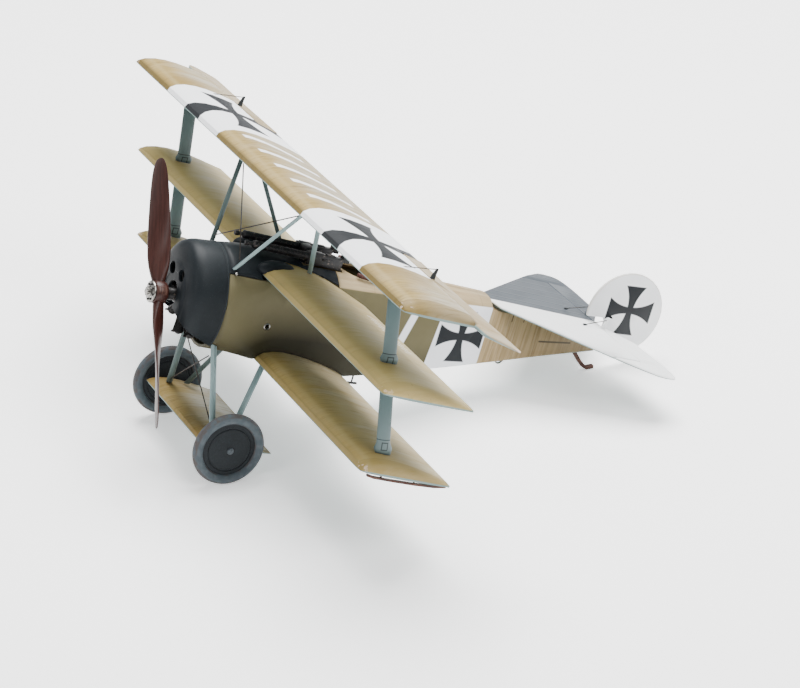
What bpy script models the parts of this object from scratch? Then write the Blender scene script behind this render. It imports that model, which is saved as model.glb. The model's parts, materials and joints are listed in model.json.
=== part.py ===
"""A 1/24 display model of a First World War rotary-engined triplane.

Every dimension is the full-size aircraft's, in metres, and solid() and rod() bring it to the model's scale.
x runs to port, y aft and z up, from the thrust line at the front plane of the engine cowling. The empty
"airframe" then sets the aircraft down on its two wheels and its tail skid, with the nose up.
"""

import math

import bmesh
import bpy
from mathutils import Matrix, Vector

# Scale and fits
SCALE = 1 / 24
GAP = 0.0003 / SCALE
HINGE_GAP = 0.0004 / SCALE

# Wings: (leading edge y, leading edge z, half span)
UPPER_WING = (0.546, 1.299, 3.31)
MIDDLE_WING = (0.720, 0.420, 3.09)
LOWER_WING = (0.857, -0.437, 2.87)
CHORD = 1.0
WING_DROP = 0.091
WING_CAMBER = 0.12
WING_BELLY = 0.014
EDGE_THICKNESS = 0.010

# Ailerons
AILERON_HINGE = 0.80
AILERON_ROOT = 1.72
AILERON_NOSE = 0.030
AILERON_TIP = 3.640
AILERON_WASHOUT = 0.080

# Tail surfaces
TAIL_FRONT_Y = 3.58
TAIL_FRONT_Z = 0.300
TAIL_DROP = 0.093
TAIL_HALF_THICKNESS = 0.018
ELEVATOR_HINGE_Y = 4.80
ELEVATOR_HORN_X = 1.04
RUDDER_HINGE_Y = 4.93
RUDDER_CENTRE = (5.125, 0.330)
RUDDER_RADIUS = 0.448
RUDDER_HALF_THICKNESS = 0.018

# Engine, cowling and propeller
COWL_HALF_WIDTH = 0.472
COWL_HALF_HEIGHT = 0.566
COWL_DEPTH = 0.372
COWL_WALL = 0.028
COOLING_HOLE = (0.112, 0.232, 0.062)
CYLINDERS = 9
CYLINDER_PLANE_Y = 0.200
CYLINDER_TOP = 0.420
CRANKCASE_RADIUS = 0.130
PROPELLER_Y = -0.137
PROPELLER_RADIUS = 1.33
PROPELLER_PITCH = 2.3
PROPELLER_TURN = math.radians(-33)
BOSS_HALF_DEPTH = 0.068
HUB_BOLTS = 8

# Undercarriage
AXLE_Y = 0.621
AXLE_Z = -1.220
AXLE_RADIUS = 0.020
WHEEL_X = 0.810
TYRE_RADIUS = 0.369
TYRE_SECTION = 0.0515
DISC_RADIUS = TYRE_RADIUS - 2 * TYRE_SECTION - GAP
AXLE_WING = (0.355, 1.130, -1.215, 0.735)

# Tail skid's lowest point
SKID_Y = 4.884
SKID_Z = -0.312
SKID_HALF_THICKNESS = 0.018

COLOURS = {
    "tan_wing": ((0.39, 0.29, 0.14), 0.55, 0.0),
    "olive_drab": ((0.16, 0.14, 0.08), 0.55, 0.0),
    "slate_metal": ((0.055, 0.068, 0.080), 0.38, 0.3),
    "pale_turquoise": ((0.26, 0.34, 0.33), 0.50, 0.0),
    "white_dope": ((0.78, 0.79, 0.78), 0.50, 0.0),
    "mahogany": ((0.10, 0.030, 0.020), 0.35, 0.0),
    "polished_steel": ((0.62, 0.61, 0.58), 0.25, 1.0),
    "engine_black": ((0.035, 0.032, 0.030), 0.45, 0.6),
    "gunmetal": ((0.018, 0.017, 0.018), 0.40, 0.7),
    "tyre_grey": ((0.11, 0.13, 0.145), 0.70, 0.0),
    "disc_slate": ((0.030, 0.038, 0.045), 0.50, 0.0),
    "brown_leather": ((0.07, 0.022, 0.018), 0.60, 0.0),
    "skid_ash": ((0.06, 0.025, 0.018), 0.55, 0.0),
    "wire_steel": ((0.10, 0.10, 0.10), 0.40, 0.8),
}


# ---------------------------------------------------------------- scene, materials and objects

for leftover in list(bpy.data.objects):
    bpy.data.objects.remove(leftover, do_unlink=True)

parts = bpy.data.collections.new("propeller_plane_model")
cutters = bpy.data.collections.new("cutters")
bpy.context.scene.collection.children.link(parts)
bpy.context.scene.collection.children.link(cutters)
airframe = bpy.data.objects.new("airframe", None)
parts.objects.link(airframe)


def paint(name):
    """One Principled material for each colour, roughness and metallic value in COLOURS."""
    if name in bpy.data.materials:
        return bpy.data.materials[name]
    colour, roughness, metallic = COLOURS[name]
    material = bpy.data.materials.new(name)
    material.use_nodes = True
    shader = material.node_tree.nodes["Principled BSDF"]
    shader.inputs["Base Color"].default_value = (*colour, 1)
    shader.inputs["Roughness"].default_value = roughness
    shader.inputs["Metallic"].default_value = metallic
    material.diffuse_color = (*colour, 1)
    return material


def place(obj, pivot):
    obj.parent = airframe
    obj.location = Vector(pivot) * SCALE
    parts.objects.link(obj)
    return obj


def to_mesh(name, shape, pivot=(0, 0, 0)):
    """Closes a bmesh into a mesh at the model's scale, with its own origin at pivot."""
    bmesh.ops.remove_doubles(shape, verts=shape.verts, dist=1e-5)
    bmesh.ops.recalc_face_normals(shape, faces=shape.faces)
    shape.transform(Matrix.Scale(SCALE, 4) @ Matrix.Translation(-Vector(pivot)))
    mesh = bpy.data.meshes.new(name)
    shape.to_mesh(mesh)
    shape.free()
    return mesh


def solid(name, shape, material, pivot=(0, 0, 0)):
    """A named part from a closed bmesh."""
    mesh = to_mesh(name, shape, pivot)
    mesh.materials.append(paint(material))
    mesh.shade_smooth()
    mesh.set_sharp_from_angle(angle=math.radians(35))
    return place(bpy.data.objects.new(name, mesh), pivot)


def helper(name, shape):
    """A cutter, or a piece that is joined to another: it is never rendered."""
    obj = bpy.data.objects.new(name, to_mesh(name, shape))
    obj.hide_render = True
    obj.display_type = "WIRE"
    obj.parent = airframe
    cutters.objects.link(obj)
    return obj


def boolean(obj, operation, *others):
    for other in others:
        modifier = obj.modifiers.new(operation.lower() + "_" + other.name, "BOOLEAN")
        modifier.operation = operation
        modifier.object = other
        modifier.solver = "EXACT"
    return obj


def cut(obj, *others):
    return boolean(obj, "DIFFERENCE", *others)


def join(obj, *others):
    return boolean(obj, "UNION", *others)


# ---------------------------------------------------------------- shapes, all in full-size metres


def loft(rings):
    """A closed skin through rings of equal length, with a flat face on each end."""
    shape = bmesh.new()
    rows = [[shape.verts.new(point) for point in ring] for ring in rings]
    for row, following in zip(rows, rows[1:]):
        for i in range(len(row)):
            j = (i + 1) % len(row)
            shape.faces.new((row[i], row[j], following[j], following[i]))
    shape.faces.new(reversed(rows[0]))
    shape.faces.new(rows[-1])
    return shape


def prism(outline, low, high, axis="Z"):
    """An outline extruded from low to high along an axis; the outline holds the other two coordinates."""
    turn = {"X": (2, 0, 1), "Y": (0, 2, 1), "Z": (0, 1, 2)}[axis]
    rings = []
    for level in (low, high):
        triples = [(a, b, level) for a, b in outline]
        rings.append([(triple[turn[0]], triple[turn[1]], triple[turn[2]]) for triple in triples])
    return loft(rings)


def box(centre, size, turn=0.0):
    """A block, turned about the x axis."""
    shape = bmesh.new()
    bmesh.ops.create_cube(shape, size=1)
    scale = Matrix.Diagonal((*size, 1))
    shape.transform(Matrix.Translation(centre) @ Matrix.Rotation(turn, 4, "X") @ scale)
    return shape


def turned(profile, axis_point, direction, steps):
    """A profile of (radius, distance) turned about the line through axis_point along direction."""
    rings = []
    for radius, distance in profile:
        ring = []
        for i in range(steps):
            angle = math.tau * i / steps
            ring.append((radius * math.cos(angle), radius * math.sin(angle), distance))
        rings.append(ring)
    shape = loft(rings)
    turn = Vector(direction).to_track_quat("Z", "Y").to_matrix().to_4x4()
    shape.transform(Matrix.Translation(axis_point) @ turn)
    return shape


def hoop(section, axis_point, direction, steps):
    """A closed section of (radius, distance) turned about an axis into a ring with a hole through it."""
    shape = bmesh.new()
    rows = []
    for i in range(steps):
        angle = math.tau * i / steps
        rows.append([shape.verts.new((r * math.cos(angle), r * math.sin(angle), d)) for r, d in section])
    for row, following in zip(rows, rows[1:] + rows[:1]):
        for i in range(len(row)):
            j = (i + 1) % len(row)
            shape.faces.new((row[i], row[j], following[j], following[i]))
    turn = Vector(direction).to_track_quat("Z", "Y").to_matrix().to_4x4()
    shape.transform(Matrix.Translation(axis_point) @ turn)
    return shape


def circle(radius, steps, centre=(0, 0)):
    angles = [math.tau * i / steps for i in range(steps)]
    return [(centre[0] + radius * math.cos(angle), centre[1] + radius * math.sin(angle)) for angle in angles]


def rod(name, points, radius, material, cyclic=False, sides=2):
    """A round bar or wire through points, made as a bevelled curve and then turned into a mesh."""
    curve = bpy.data.curves.new(name, "CURVE")
    curve.dimensions = "3D"
    curve.bevel_depth = radius * SCALE
    curve.bevel_resolution = sides
    curve.use_fill_caps = True
    spline = curve.splines.new("POLY")
    spline.points.add(len(points) - 1)
    spline.use_cyclic_u = cyclic
    for place_on, point in zip(spline.points, points):
        place_on.co = (*(Vector(point) * SCALE), 1)
    bent = bpy.data.objects.new(name + "_curve", curve)
    parts.objects.link(bent)
    graph = bpy.context.evaluated_depsgraph_get()
    mesh = bpy.data.meshes.new_from_object(bent.evaluated_get(graph))
    bpy.data.objects.remove(bent)
    welded = bmesh.new()
    welded.from_mesh(mesh)
    bmesh.ops.remove_doubles(welded, verts=welded.verts, dist=1e-6)
    welded.to_mesh(mesh)
    welded.free()
    if material is None:
        obj = bpy.data.objects.new(name, mesh)
        obj.hide_render = True
        obj.display_type = "WIRE"
        obj.parent = airframe
        cutters.objects.link(obj)
        return obj
    mesh.materials.clear()
    mesh.materials.append(paint(material))
    mesh.shade_smooth()
    mesh.set_sharp_from_angle(angle=math.radians(50))
    return place(bpy.data.objects.new(name, mesh), (0, 0, 0))


def mix(a, b, amount):
    return a + (b - a) * amount


def along(table, at):
    """Reads a smooth run of (position, value) pairs at one position."""
    for (here, value), (there, following) in zip(table, table[1:]):
        if at <= there:
            return mix(value, following, (at - here) / (there - here))
    return table[-1][1]


# ---------------------------------------------------------------- wings


def wing_rise(t):
    """Height of a thick aerofoil's back over its chord, 0 at both edges and 1 at its highest."""
    return 10 * (0.2969 * math.sqrt(t) - 0.1260 * t - 0.3516 * t**2 + 0.2843 * t**3 - 0.1036 * t**4)


def wing_ring(x, wing, fullness=1.0, inset=0.0, margin=0.0, up=0.0, down=0.0):
    """One section of a wing. fullness flattens its back, inset draws both edges in, margin swells it all
    round, and up or down carries its back or belly away, for a cutter that opens everything on that side."""
    front, level = wing[0] + inset - margin, wing[1]
    back = wing[0] + CHORD - inset + margin
    steps = 11
    upper, lower = [], []
    for i in range(steps + 1):
        t = 0.5 - 0.5 * math.cos(math.pi * i / steps)
        y = mix(front, back, t)
        centre = level - WING_DROP * t
        rise = WING_CAMBER * fullness * wing_rise(t) + EDGE_THICKNESS * t / 2
        sink = WING_BELLY * wing_rise(t) + EDGE_THICKNESS * t / 2
        upper.append((x, y, centre + rise + margin + up))
        lower.append((x, y, centre - sink - margin - down))
    return upper + lower[:0:-1] if not (margin or up or down) else upper + lower[::-1]


def wing_stations(wing):
    """Stations out to a tip whose back curves down over its last fifth of a metre."""
    half = wing[2]
    tip = (
        (0.20, 1.0, 0.0),
        (0.10, 0.95, 0.001),
        (0.045, 0.78, 0.004),
        (0.012, 0.50, 0.010),
        (0.0, 0.24, 0.020),
    )
    right = [(half - in_by, full, inset) for in_by, full, inset in tip]
    return [(-x, full, inset) for x, full, inset in reversed(right)] + right


def wing_body(wing):
    return loft([wing_ring(x, wing, full, inset) for x, full, inset in wing_stations(wing)])


def wing_cutter(name, wing, up=0.0, down=0.0, reach=None):
    """The wing grown by the gap, to clear a slot or to trim a strut."""
    if reach is not None:
        rings = [wing_ring(x, wing, margin=GAP, up=up, down=down) for x in (-reach, reach)]
    else:
        rings = [wing_ring(x, wing, full, inset, GAP) for x, full, inset in wing_stations(wing)]
    return helper(name, loft(rings))


def panel_section(front, back, half_front, half_back):
    """A control surface's section as (distance, height): a round nose, then flat sides to a thin edge."""
    nose = [
        (front + half_front + half_front * math.cos(angle), half_front * math.sin(angle))
        for angle in [math.pi / 2 + math.pi * i / 6 for i in range(7)]
    ]
    return nose + [(back, -half_back), (back, half_back)]


def panel(stations, map_point):
    """A loft of panel sections: each station is (span, front, back, half thickness, half edge)."""
    rings = []
    for span, front, back, half_front, half_back in stations:
        section = panel_section(front, back, half_front, half_back)
        rings.append([map_point(span, along_chord, height) for along_chord, height in section])
    return loft(rings)


AILERON_Y = UPPER_WING[0] + AILERON_HINGE * CHORD
AILERON_Z = UPPER_WING[1] - 0.050


def aileron_point(span, y, height):
    """A point of the aileron, whose rear edge droops more towards its tip."""
    slope = (UPPER_WING[1] - 1.09 * WING_DROP - AILERON_Z) / (0.29 * CHORD)
    slope -= AILERON_WASHOUT * max(0.0, abs(span) - AILERON_ROOT)
    return (span, y, AILERON_Z + slope * max(0.0, y - AILERON_Y) + height)


def horn(name, foot, height, lean):
    """A control horn: a short tapered post with a flat eye end, to be joined to its surface."""
    x, y, z = foot
    sizes = ((-0.03, 0.010, 0.026), (0.3 * height, 0.009, 0.020), (height, 0.007, 0.010))
    rings = []
    for level, half_x, half_y in sizes:
        centre_y = y + lean * max(level, 0) / height
        corners = ((half_x, half_y), (-half_x, half_y), (-half_x, -half_y), (half_x, -half_y))
        rings.append([(x + dx, centre_y + dy, z + level) for dx, dy in corners])
    return helper(name, loft(rings))


def make_wings():
    upper = solid("upper_wing", wing_body(UPPER_WING), "tan_wing")
    bay_front = AILERON_Y - AILERON_NOSE - HINGE_GAP
    bay_back = UPPER_WING[0] + CHORD + 0.1
    for side in (1, -1):
        bay = [(side * (AILERON_ROOT - HINGE_GAP), bay_front), (side * 3.5, bay_front)]
        bay += [(side * 3.5, bay_back), (side * (AILERON_ROOT - HINGE_GAP), bay_back)]
        cut(upper, helper("aileron_bay_" + ("port" if side > 0 else "starboard"), prism(bay, 1.0, 1.6)))
    middle = solid("middle_wing", wing_body(MIDDLE_WING), "tan_wing")
    root_back = MIDDLE_WING[0] + CHORD + 0.05
    notch = [(-0.70, root_back), (-0.66, 1.715), (-0.30, 1.44)]
    notch += [(-x, y) for x, y in reversed(notch)]
    cut(middle, helper("pilots_view_notch", prism(notch, 0.2, 0.6)))
    solid("lower_wing", wing_body(LOWER_WING), "tan_wing")


def make_ailerons():
    """Each aileron hangs behind the upper wing, and its horn balance reaches forward past the wing tip."""
    back = UPPER_WING[0] + CHORD
    nose = AILERON_Y - AILERON_NOSE
    edge = EDGE_THICKNESS / 2
    tip_back = back + 0.108
    outline = (
        (AILERON_ROOT, nose, back + 0.004, AILERON_NOSE, edge),
        (2.60, nose, back + 0.030, AILERON_NOSE, edge),
        (3.335, nose, back + 0.092, 0.026, edge),
        (3.352, 1.275, back + 0.093, 0.022, edge),
        (3.540, 1.280, tip_back, 0.018, edge),
        (3.610, 1.310, tip_back, 0.013, edge),
        (AILERON_TIP, 1.400, tip_back - 0.02, 0.008, edge),
    )
    for side, word in ((1, "port"), (-1, "starboard")):
        stations = [(side * span, front, rear, half, thin) for span, front, rear, half, thin in outline]
        body = panel(stations, aileron_point)
        aileron = solid("aileron_" + word, body, "tan_wing", (side * 2.6, AILERON_Y, AILERON_Z))
        foot = (side * 2.31, AILERON_Y + 0.004, AILERON_Z + AILERON_NOSE)
        join(aileron, horn("aileron_horn_" + word, foot, 0.100, 0.030))


# ---------------------------------------------------------------- fuselage

HALF_WIDTH = (
    (0.38, 0.470),
    (0.60, 0.462),
    (0.85, 0.420),
    (1.10, 0.388),
    (1.60, 0.366),
    (2.00, 0.355),
    (2.60, 0.300),
    (3.10, 0.250),
    (3.45, 0.210),
    (4.20, 0.115),
    (4.88, 0.026),
)
BELLY = ((0.38, -0.490), (0.60, -0.478), (0.90, -0.462), (1.86, -0.548), (1.95, -0.552), (4.88, -0.114))
SHOULDER = ((0.38, 0.405), (1.70, 0.366), (3.43, 0.290), (3.45, 0.270), (4.88, 0.140))
SPINE = (
    (0.38, 0.564),
    (0.60, 0.566),
    (0.85, 0.560),
    (1.00, 0.546),
    (1.20, 0.530),
    (1.40, 0.524),
    (1.62, 0.505),
    (2.20, 0.462),
    (3.10, 0.400),
    (3.43, 0.372),
    (3.45, 0.274),
    (4.88, 0.145),
)
SQUARENESS = ((0.38, 0.0), (0.60, 0.35), (0.85, 0.85), (1.10, 1.0), (4.88, 1.0))
FRONT_STATIONS = (0.38, 0.45, 0.52, 0.60, 0.70, 0.81, 1.0, 1.2, 1.4)
STATIONS = FRONT_STATIONS + (1.62, 1.9, 2.2, 2.6, 3.1, 3.43, 3.45, 4.2, 4.88)
FUSELAGE_WALL = 0.030
DECK_SPLIT_FRONT = (0.405, 0.400)
DECK_SPLIT_BACK = (1.560, 0.352)


def deck_height(x, y, margin=0.0):
    """Height of the rounded deck over the fuselage."""
    half = along(HALF_WIDTH, y) + margin
    shoulder, spine = along(SHOULDER, y), along(SPINE, y) + margin
    return shoulder + (spine - shoulder) * (1 - min(1.0, abs(x) / half) ** 3)


def half_ring(y, margin=0.0):
    """The port half of a section, from the middle of the belly round to the middle of the spine. It blends
    from an oval at the cowling into flat sides with a rounded deck."""
    half = along(HALF_WIDTH, y) + margin
    belly, shoulder, spine = along(BELLY, y) - margin, along(SHOULDER, y), along(SPINE, y) + margin
    corner = min(0.035, half * 0.4)
    boxed = [((half - corner) * part, belly) for part in (0, 0.35, 0.7)]
    boxed += [(half - corner, belly), (half - 0.3 * corner, belly + 0.3 * corner), (half, belly + corner)]
    boxed += [(half, mix(belly + corner, shoulder, part)) for part in (0.33, 0.66, 1.0)]
    for part in (0.94, 0.86, 0.74, 0.58, 0.38, 0.2):
        boxed.append((half * part, deck_height(half * part, y, margin)))
    boxed += [(0, spine)]
    points = []
    for i, (x, z) in enumerate(boxed):
        angle = math.pi * i / (len(boxed) - 1)
        round_x, round_z = half * math.sin(angle), mix(belly, spine, 0.5 - 0.5 * math.cos(angle))
        points.append((mix(round_x, x, along(SQUARENESS, y)), mix(round_z, z, along(SQUARENESS, y))))
    return points


def fuselage_solid(stations, margin=0.0):
    rings = []
    for y in stations:
        port = half_ring(y, margin)
        starboard = [(-x, z) for x, z in reversed(port[1:-1])]
        rings.append([(x, y, z) for x, z in port + starboard])
    return loft(rings)


def fuselage_half(side):
    rings = []
    for y in STATIONS:
        rings.append([(side * max(x, GAP / 2), y, z) for x, z in half_ring(y)])
    return loft(rings)


def make_fuselage():
    """Two shells that meet on the centre line, a metal deck over their front, and saddles for the wings."""
    hollow = helper("fuselage_hollow", fuselage_solid((0.30,) + STATIONS[1:13] + (3.0,), -FUSELAGE_WALL))
    lower_saddle = wing_cutter("lower_wing_saddle", LOWER_WING, down=0.3, reach=0.6)
    middle_saddle = wing_cutter("middle_wing_saddle", MIDDLE_WING, up=0.5, reach=0.6)
    cut(middle_saddle, helper("saddle_end", box((0, DECK_SPLIT_BACK[0] + GAP + 0.5, 0.5), (2.0, 1.0, 2.0))))
    middle_cover = wing_cutter("middle_wing_cover", MIDDLE_WING, down=0.5, reach=0.6)
    cockpit = helper("cockpit_opening", prism(cockpit_outline(32), 0.15, 0.9))
    front_y, front_z = DECK_SPLIT_FRONT
    back_y, back_z = DECK_SPLIT_BACK
    above = [(front_y - 0.1, front_z), (back_y, back_z), (back_y, 0.9), (front_y - 0.1, 0.9)]
    grown = [(front_y - 0.1, front_z - GAP), (back_y + GAP, back_z - GAP)]
    grown += [(back_y + GAP, 0.9), (front_y - 0.1, 0.9)]
    deck_space = helper("deck_space", prism(grown, -0.6, 0.6, "X"))
    breech_room = helper("breech_room", box((0, 1.575, 0.56), (2 * GUN_X + 0.120, 0.150, 0.30)))
    for side, word in ((1, "port"), (-1, "starboard")):
        half = solid("fuselage_" + word + "_half", fuselage_half(side), "olive_drab")
        cut(half, hollow, deck_space, lower_saddle, middle_saddle, cockpit, breech_room)
    deck = solid("forward_decking", fuselage_solid(STATIONS), "slate_metal")
    boolean(deck, "INTERSECT", helper("deck_region", prism(above, -0.6, 0.6, "X")))
    cut(deck, hollow, middle_cover, cockpit)
    for side, word in ((1, "port"), (-1, "starboard")):
        cut(deck, helper("breech_slot_" + word, box((side * GUN_X, 1.50, 0.56), (0.120, 0.60, 0.30))))
    peephole = helper("side_port", turned(((0.022, 0.0), (0.022, 0.2)), (0.30, 0.880, -0.078), (1, 0, 0), 12))
    cut(bpy.data.objects["fuselage_port_half"], peephole)


COCKPIT_Y = 1.93
COCKPIT_HALF_LENGTH = 0.30
COCKPIT_HALF_WIDTH = 0.235


def cockpit_outline(steps, grow=0.0):
    return [
        (
            (COCKPIT_HALF_WIDTH + grow) * math.cos(math.tau * i / steps),
            COCKPIT_Y + (COCKPIT_HALF_LENGTH + grow) * math.sin(math.tau * i / steps),
        )
        for i in range(steps)
    ]


# ---------------------------------------------------------------- cockpit fittings

GUN_X = 0.130


def make_cockpit():
    rim = []
    for i in range(25):
        angle = math.radians(mix(-26, 206, i / 24))
        x = (COCKPIT_HALF_WIDTH + 0.020) * math.cos(angle)
        y = COCKPIT_Y + (COCKPIT_HALF_LENGTH + 0.020) * math.sin(angle)
        rim.append((x, y, deck_height(x, y) + 0.024 + 2 * GAP))
    rod("cockpit_coaming", rim, 0.024, "brown_leather", sides=1)
    solid("cockpit_floor", box((0, 1.62, -0.290), (0.54, 1.10, 0.020)), "olive_drab")
    panel_outline = [(-0.30, 0.02), (0.30, 0.02), (0.30, 0.27), (0.22, 0.31), (-0.22, 0.31), (-0.30, 0.27)]
    solid("instrument_panel", prism(panel_outline, 1.600, 1.622, "Y"), "mahogany")
    base = (0, 2.02, -0.16)
    seat = solid("seat", turned(((0.185, 0.0), (0.195, 0.30)), base, (0, 0, 1), 24), "brown_leather")
    inside = helper("seat_hollow", turned(((0.168, 0.02), (0.178, 0.40)), base, (0, 0, 1), 24))
    front = helper("seat_front", box((0, 1.86, 0.10), (0.5, 0.26, 0.36)))
    cut(seat, inside, front)
    post = helper("seat_post", turned(((0.04, 0.0), (0.04, 0.13)), (0, 2.02, -0.272), (0, 0, 1), 12))
    join(seat, post)
    column = ((0, 1.66, -0.272), (0, 1.70, -0.10), (0, 1.73, 0.10))
    stick = rod("control_stick", column, 0.012, "engine_black", sides=1)
    grip = rod("stick_grip", ((-0.05, 1.733, 0.11), (0.05, 1.733, 0.11)), 0.014, None, sides=1)
    join(stick, grip)
    bar = rod("rudder_bar", ((-0.20, 1.30, -0.20), (0.20, 1.30, -0.20)), 0.014, "engine_black", sides=1)
    pivot = rod("rudder_bar_pivot", ((0, 1.30, -0.272), (0, 1.30, -0.19)), 0.020, None, sides=1)
    join(bar, pivot)


GUN_FRONT = (0.600, 0.650)
GUN_BACK = (1.700, 0.548)


def gun_z(y):
    return mix(GUN_FRONT[1], GUN_BACK[1], (y - GUN_FRONT[0]) / (GUN_BACK[0] - GUN_FRONT[0]))


def make_guns():
    """Two fixed guns: a muzzle cone, a round jacket, then a box-shaped breech with a feed block and grips."""
    slope = math.atan2(GUN_BACK[1] - GUN_FRONT[1], GUN_BACK[0] - GUN_FRONT[0])
    direction = (0, math.cos(slope), math.sin(slope))
    muzzle = ((0.016, -0.05), (0.026, -0.045), (0.026, -0.01), (0.018, 0.0), (0.018, 0.035))
    jacket = ((0.040, 0.045), (0.043, 0.060), (0.043, 0.64), (0.040, 0.66))
    for side, word in ((1, "port"), (-1, "starboard")):
        x = side * GUN_X
        body = turned(muzzle + jacket, (x, GUN_FRONT[0], GUN_FRONT[1]), direction, 14)
        gun = solid("machine_gun_" + word, body, "gunmetal", (x, GUN_FRONT[0], GUN_FRONT[1]))
        breech = box((x, 1.435, gun_z(1.435) - 0.012), (0.092, 0.40, 0.125), slope)
        cover = box((x, 1.330, gun_z(1.33) + 0.052), (0.074, 0.15, 0.04), slope)
        butt = box((x, 1.665, gun_z(1.665) - 0.004), (0.070, 0.09, 0.090), slope)
        join(gun, helper("gun_breech_" + word, breech), helper("gun_cover_" + word, cover))
        join(gun, helper("gun_butt_" + word, butt))
    feed = solid("ammunition_feed", box((0, 1.30, 0.618), (0.145, 0.10, 0.070)), "gunmetal")
    bevel(feed, 0.010)


def bevel(obj, width, segments=2):
    modifier = obj.modifiers.new("rounded_edges", "BEVEL")
    modifier.width = width * SCALE
    modifier.segments = segments
    modifier.limit_method = "ANGLE"


# ---------------------------------------------------------------- tail


def tail_point(x, y, height):
    return (x, y, TAIL_FRONT_Z - TAIL_DROP * (y - TAIL_FRONT_Y) + height)


def leading_edge(x):
    """The tailplane's front edge: a small nose on the spine, then a long straight rake."""
    return 3.475 + 0.045 * min(1.0, abs(x) / 0.20) + 1.115 * max(0.0, abs(x) - 0.20)


def make_tail():
    half, edge = TAIL_HALF_THICKNESS, EDGE_THICKNESS / 2
    rear = ELEVATOR_HINGE_Y - half - HINGE_GAP
    end = ELEVATOR_HORN_X - 0.018
    spans = (-end, -0.6, -0.20, 0.0, 0.20, 0.6, end)
    fixed = [(x, leading_edge(x), rear, half * 0.8, half) for x in spans]
    solid("tailplane", panel(fixed, tail_point), "slate_metal")

    nose = ELEVATOR_HINGE_Y - half
    port = (
        (0.055, nose, nose + 2 * half, half, half),
        (0.065, nose, 4.850, half, edge),
        (0.430, nose, 5.080, half, edge),
        (0.900, nose, 5.105, half, edge),
        (ELEVATOR_HORN_X, nose, 5.105, half, edge),
        (ELEVATOR_HORN_X + 0.006, leading_edge(ELEVATOR_HORN_X + 0.006), 5.105, half * 0.8, edge),
        (1.160, leading_edge(1.160) + 0.004, 5.100, half * 0.7, edge),
        (1.270, leading_edge(1.270) + 0.030, 5.080, half * 0.6, edge),
        (1.325, 4.820, 5.040, half * 0.5, edge),
        (1.345, 4.900, 4.985, half * 0.4, edge),
    )
    starboard = [(-x, front, back, thick, thin) for x, front, back, thick, thin in reversed(port)]
    hinge = tail_point(0, ELEVATOR_HINGE_Y, 0)
    elevator = solid("elevator", panel(starboard + list(port), tail_point), "white_dope", hinge)
    for side, word in ((1, "port"), (-1, "starboard")):
        foot = tail_point(side * 0.18, ELEVATOR_HINGE_Y + 0.004, half)
        join(elevator, horn("elevator_horn_" + word, foot, 0.115, 0.035))
    make_rudder()
    make_skid()


def make_rudder():
    """A comma-shaped rudder: a disc whose lower front is cut back to the sternpost."""
    centre_y, centre_z = RUDDER_CENTRE
    disc = circle(RUDDER_RADIUS, 36, RUDDER_CENTRE)
    body = prism(disc, -RUDDER_HALF_THICKNESS, RUDDER_HALF_THICKNESS, "X")
    rudder = solid("rudder", body, "white_dope", (0, RUDDER_HINGE_Y, centre_z))
    nose = RUDDER_HINGE_Y - RUDDER_HALF_THICKNESS
    notch_top = 0.262
    notch = [(centre_y - 0.6, -0.3), (nose, -0.3), (nose, notch_top - 0.03), (nose - 0.03, notch_top)]
    notch += [(centre_y - 0.6, notch_top)]
    cut(rudder, helper("sternpost_notch", prism(notch, -0.1, 0.1, "X")))
    bevel(rudder, 0.008, 1)
    corners = ((1, 1), (1, -1), (-1, -1), (-1, 1))
    for side, word in ((1, "port"), (-1, "starboard")):
        rings = []
        for reach, half in ((0.0, 0.022), (0.075, 0.010)):
            level = 0.285
            middle_y = RUDDER_HINGE_Y + 0.02
            rings.append([(side * reach, middle_y + half * a, level + 0.4 * half * b) for a, b in corners])
        join(rudder, helper("rudder_horn_" + word, loft(rings)))


def bar(path, half_width, half_thickness):
    """A flat bar that follows a path in the y-z plane."""
    rings = []
    for i, (y, z) in enumerate(path):
        before, after = path[max(i - 1, 0)], path[min(i + 1, len(path) - 1)]
        run = Vector((after[0] - before[0], after[1] - before[1])).normalized()
        out = Vector((-run.y, run.x)) * half_thickness
        rings.append(
            [
                (half_width, y + out.x, z + out.y),
                (-half_width, y + out.x, z + out.y),
                (-half_width, y - out.x, z - out.y),
                (half_width, y - out.x, z - out.y),
            ]
        )
    return loft(rings)


def make_skid():
    envelope = bpy.data.objects["fuselage_envelope"]
    path = ((4.60, -0.06), (4.68, -0.160), (4.76, -0.240), (4.82, -0.290))
    path += ((SKID_Y - 0.01, SKID_Z), (4.95, -0.288))
    skid = solid("tail_skid", bar(path, 0.022, SKID_HALF_THICKNESS), "skid_ash")
    cut(skid, envelope)
    arch = [(math.cos(math.pi * i / 8), math.sin(math.pi * i / 8)) for i in range(9)]
    points = [(0.0, 3.81 + 0.060 * a, -0.260 - 0.105 * b) for a, b in arch]
    cut(rod("lifting_loop", points, 0.011, "wire_steel", sides=1), envelope)
    step = rod("footstep", ((0.30, 2.03, -0.48), (0.30, 2.03, -0.615)), 0.009, "engine_black", sides=1)
    tread = rod("footstep_tread", ((0.30, 1.97, -0.618), (0.30, 2.09, -0.618)), 0.012, None, sides=1)
    cut(step, envelope)
    join(step, tread)


# ---------------------------------------------------------------- engine, cowling and propeller


def cowl_shell(y, fraction, wall=0.0):
    """(half width, half height, y) of the oval cowling where it has reached a fraction of its full size."""
    return (COWL_HALF_WIDTH * fraction - wall, COWL_HALF_HEIGHT * fraction - wall, y)


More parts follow.
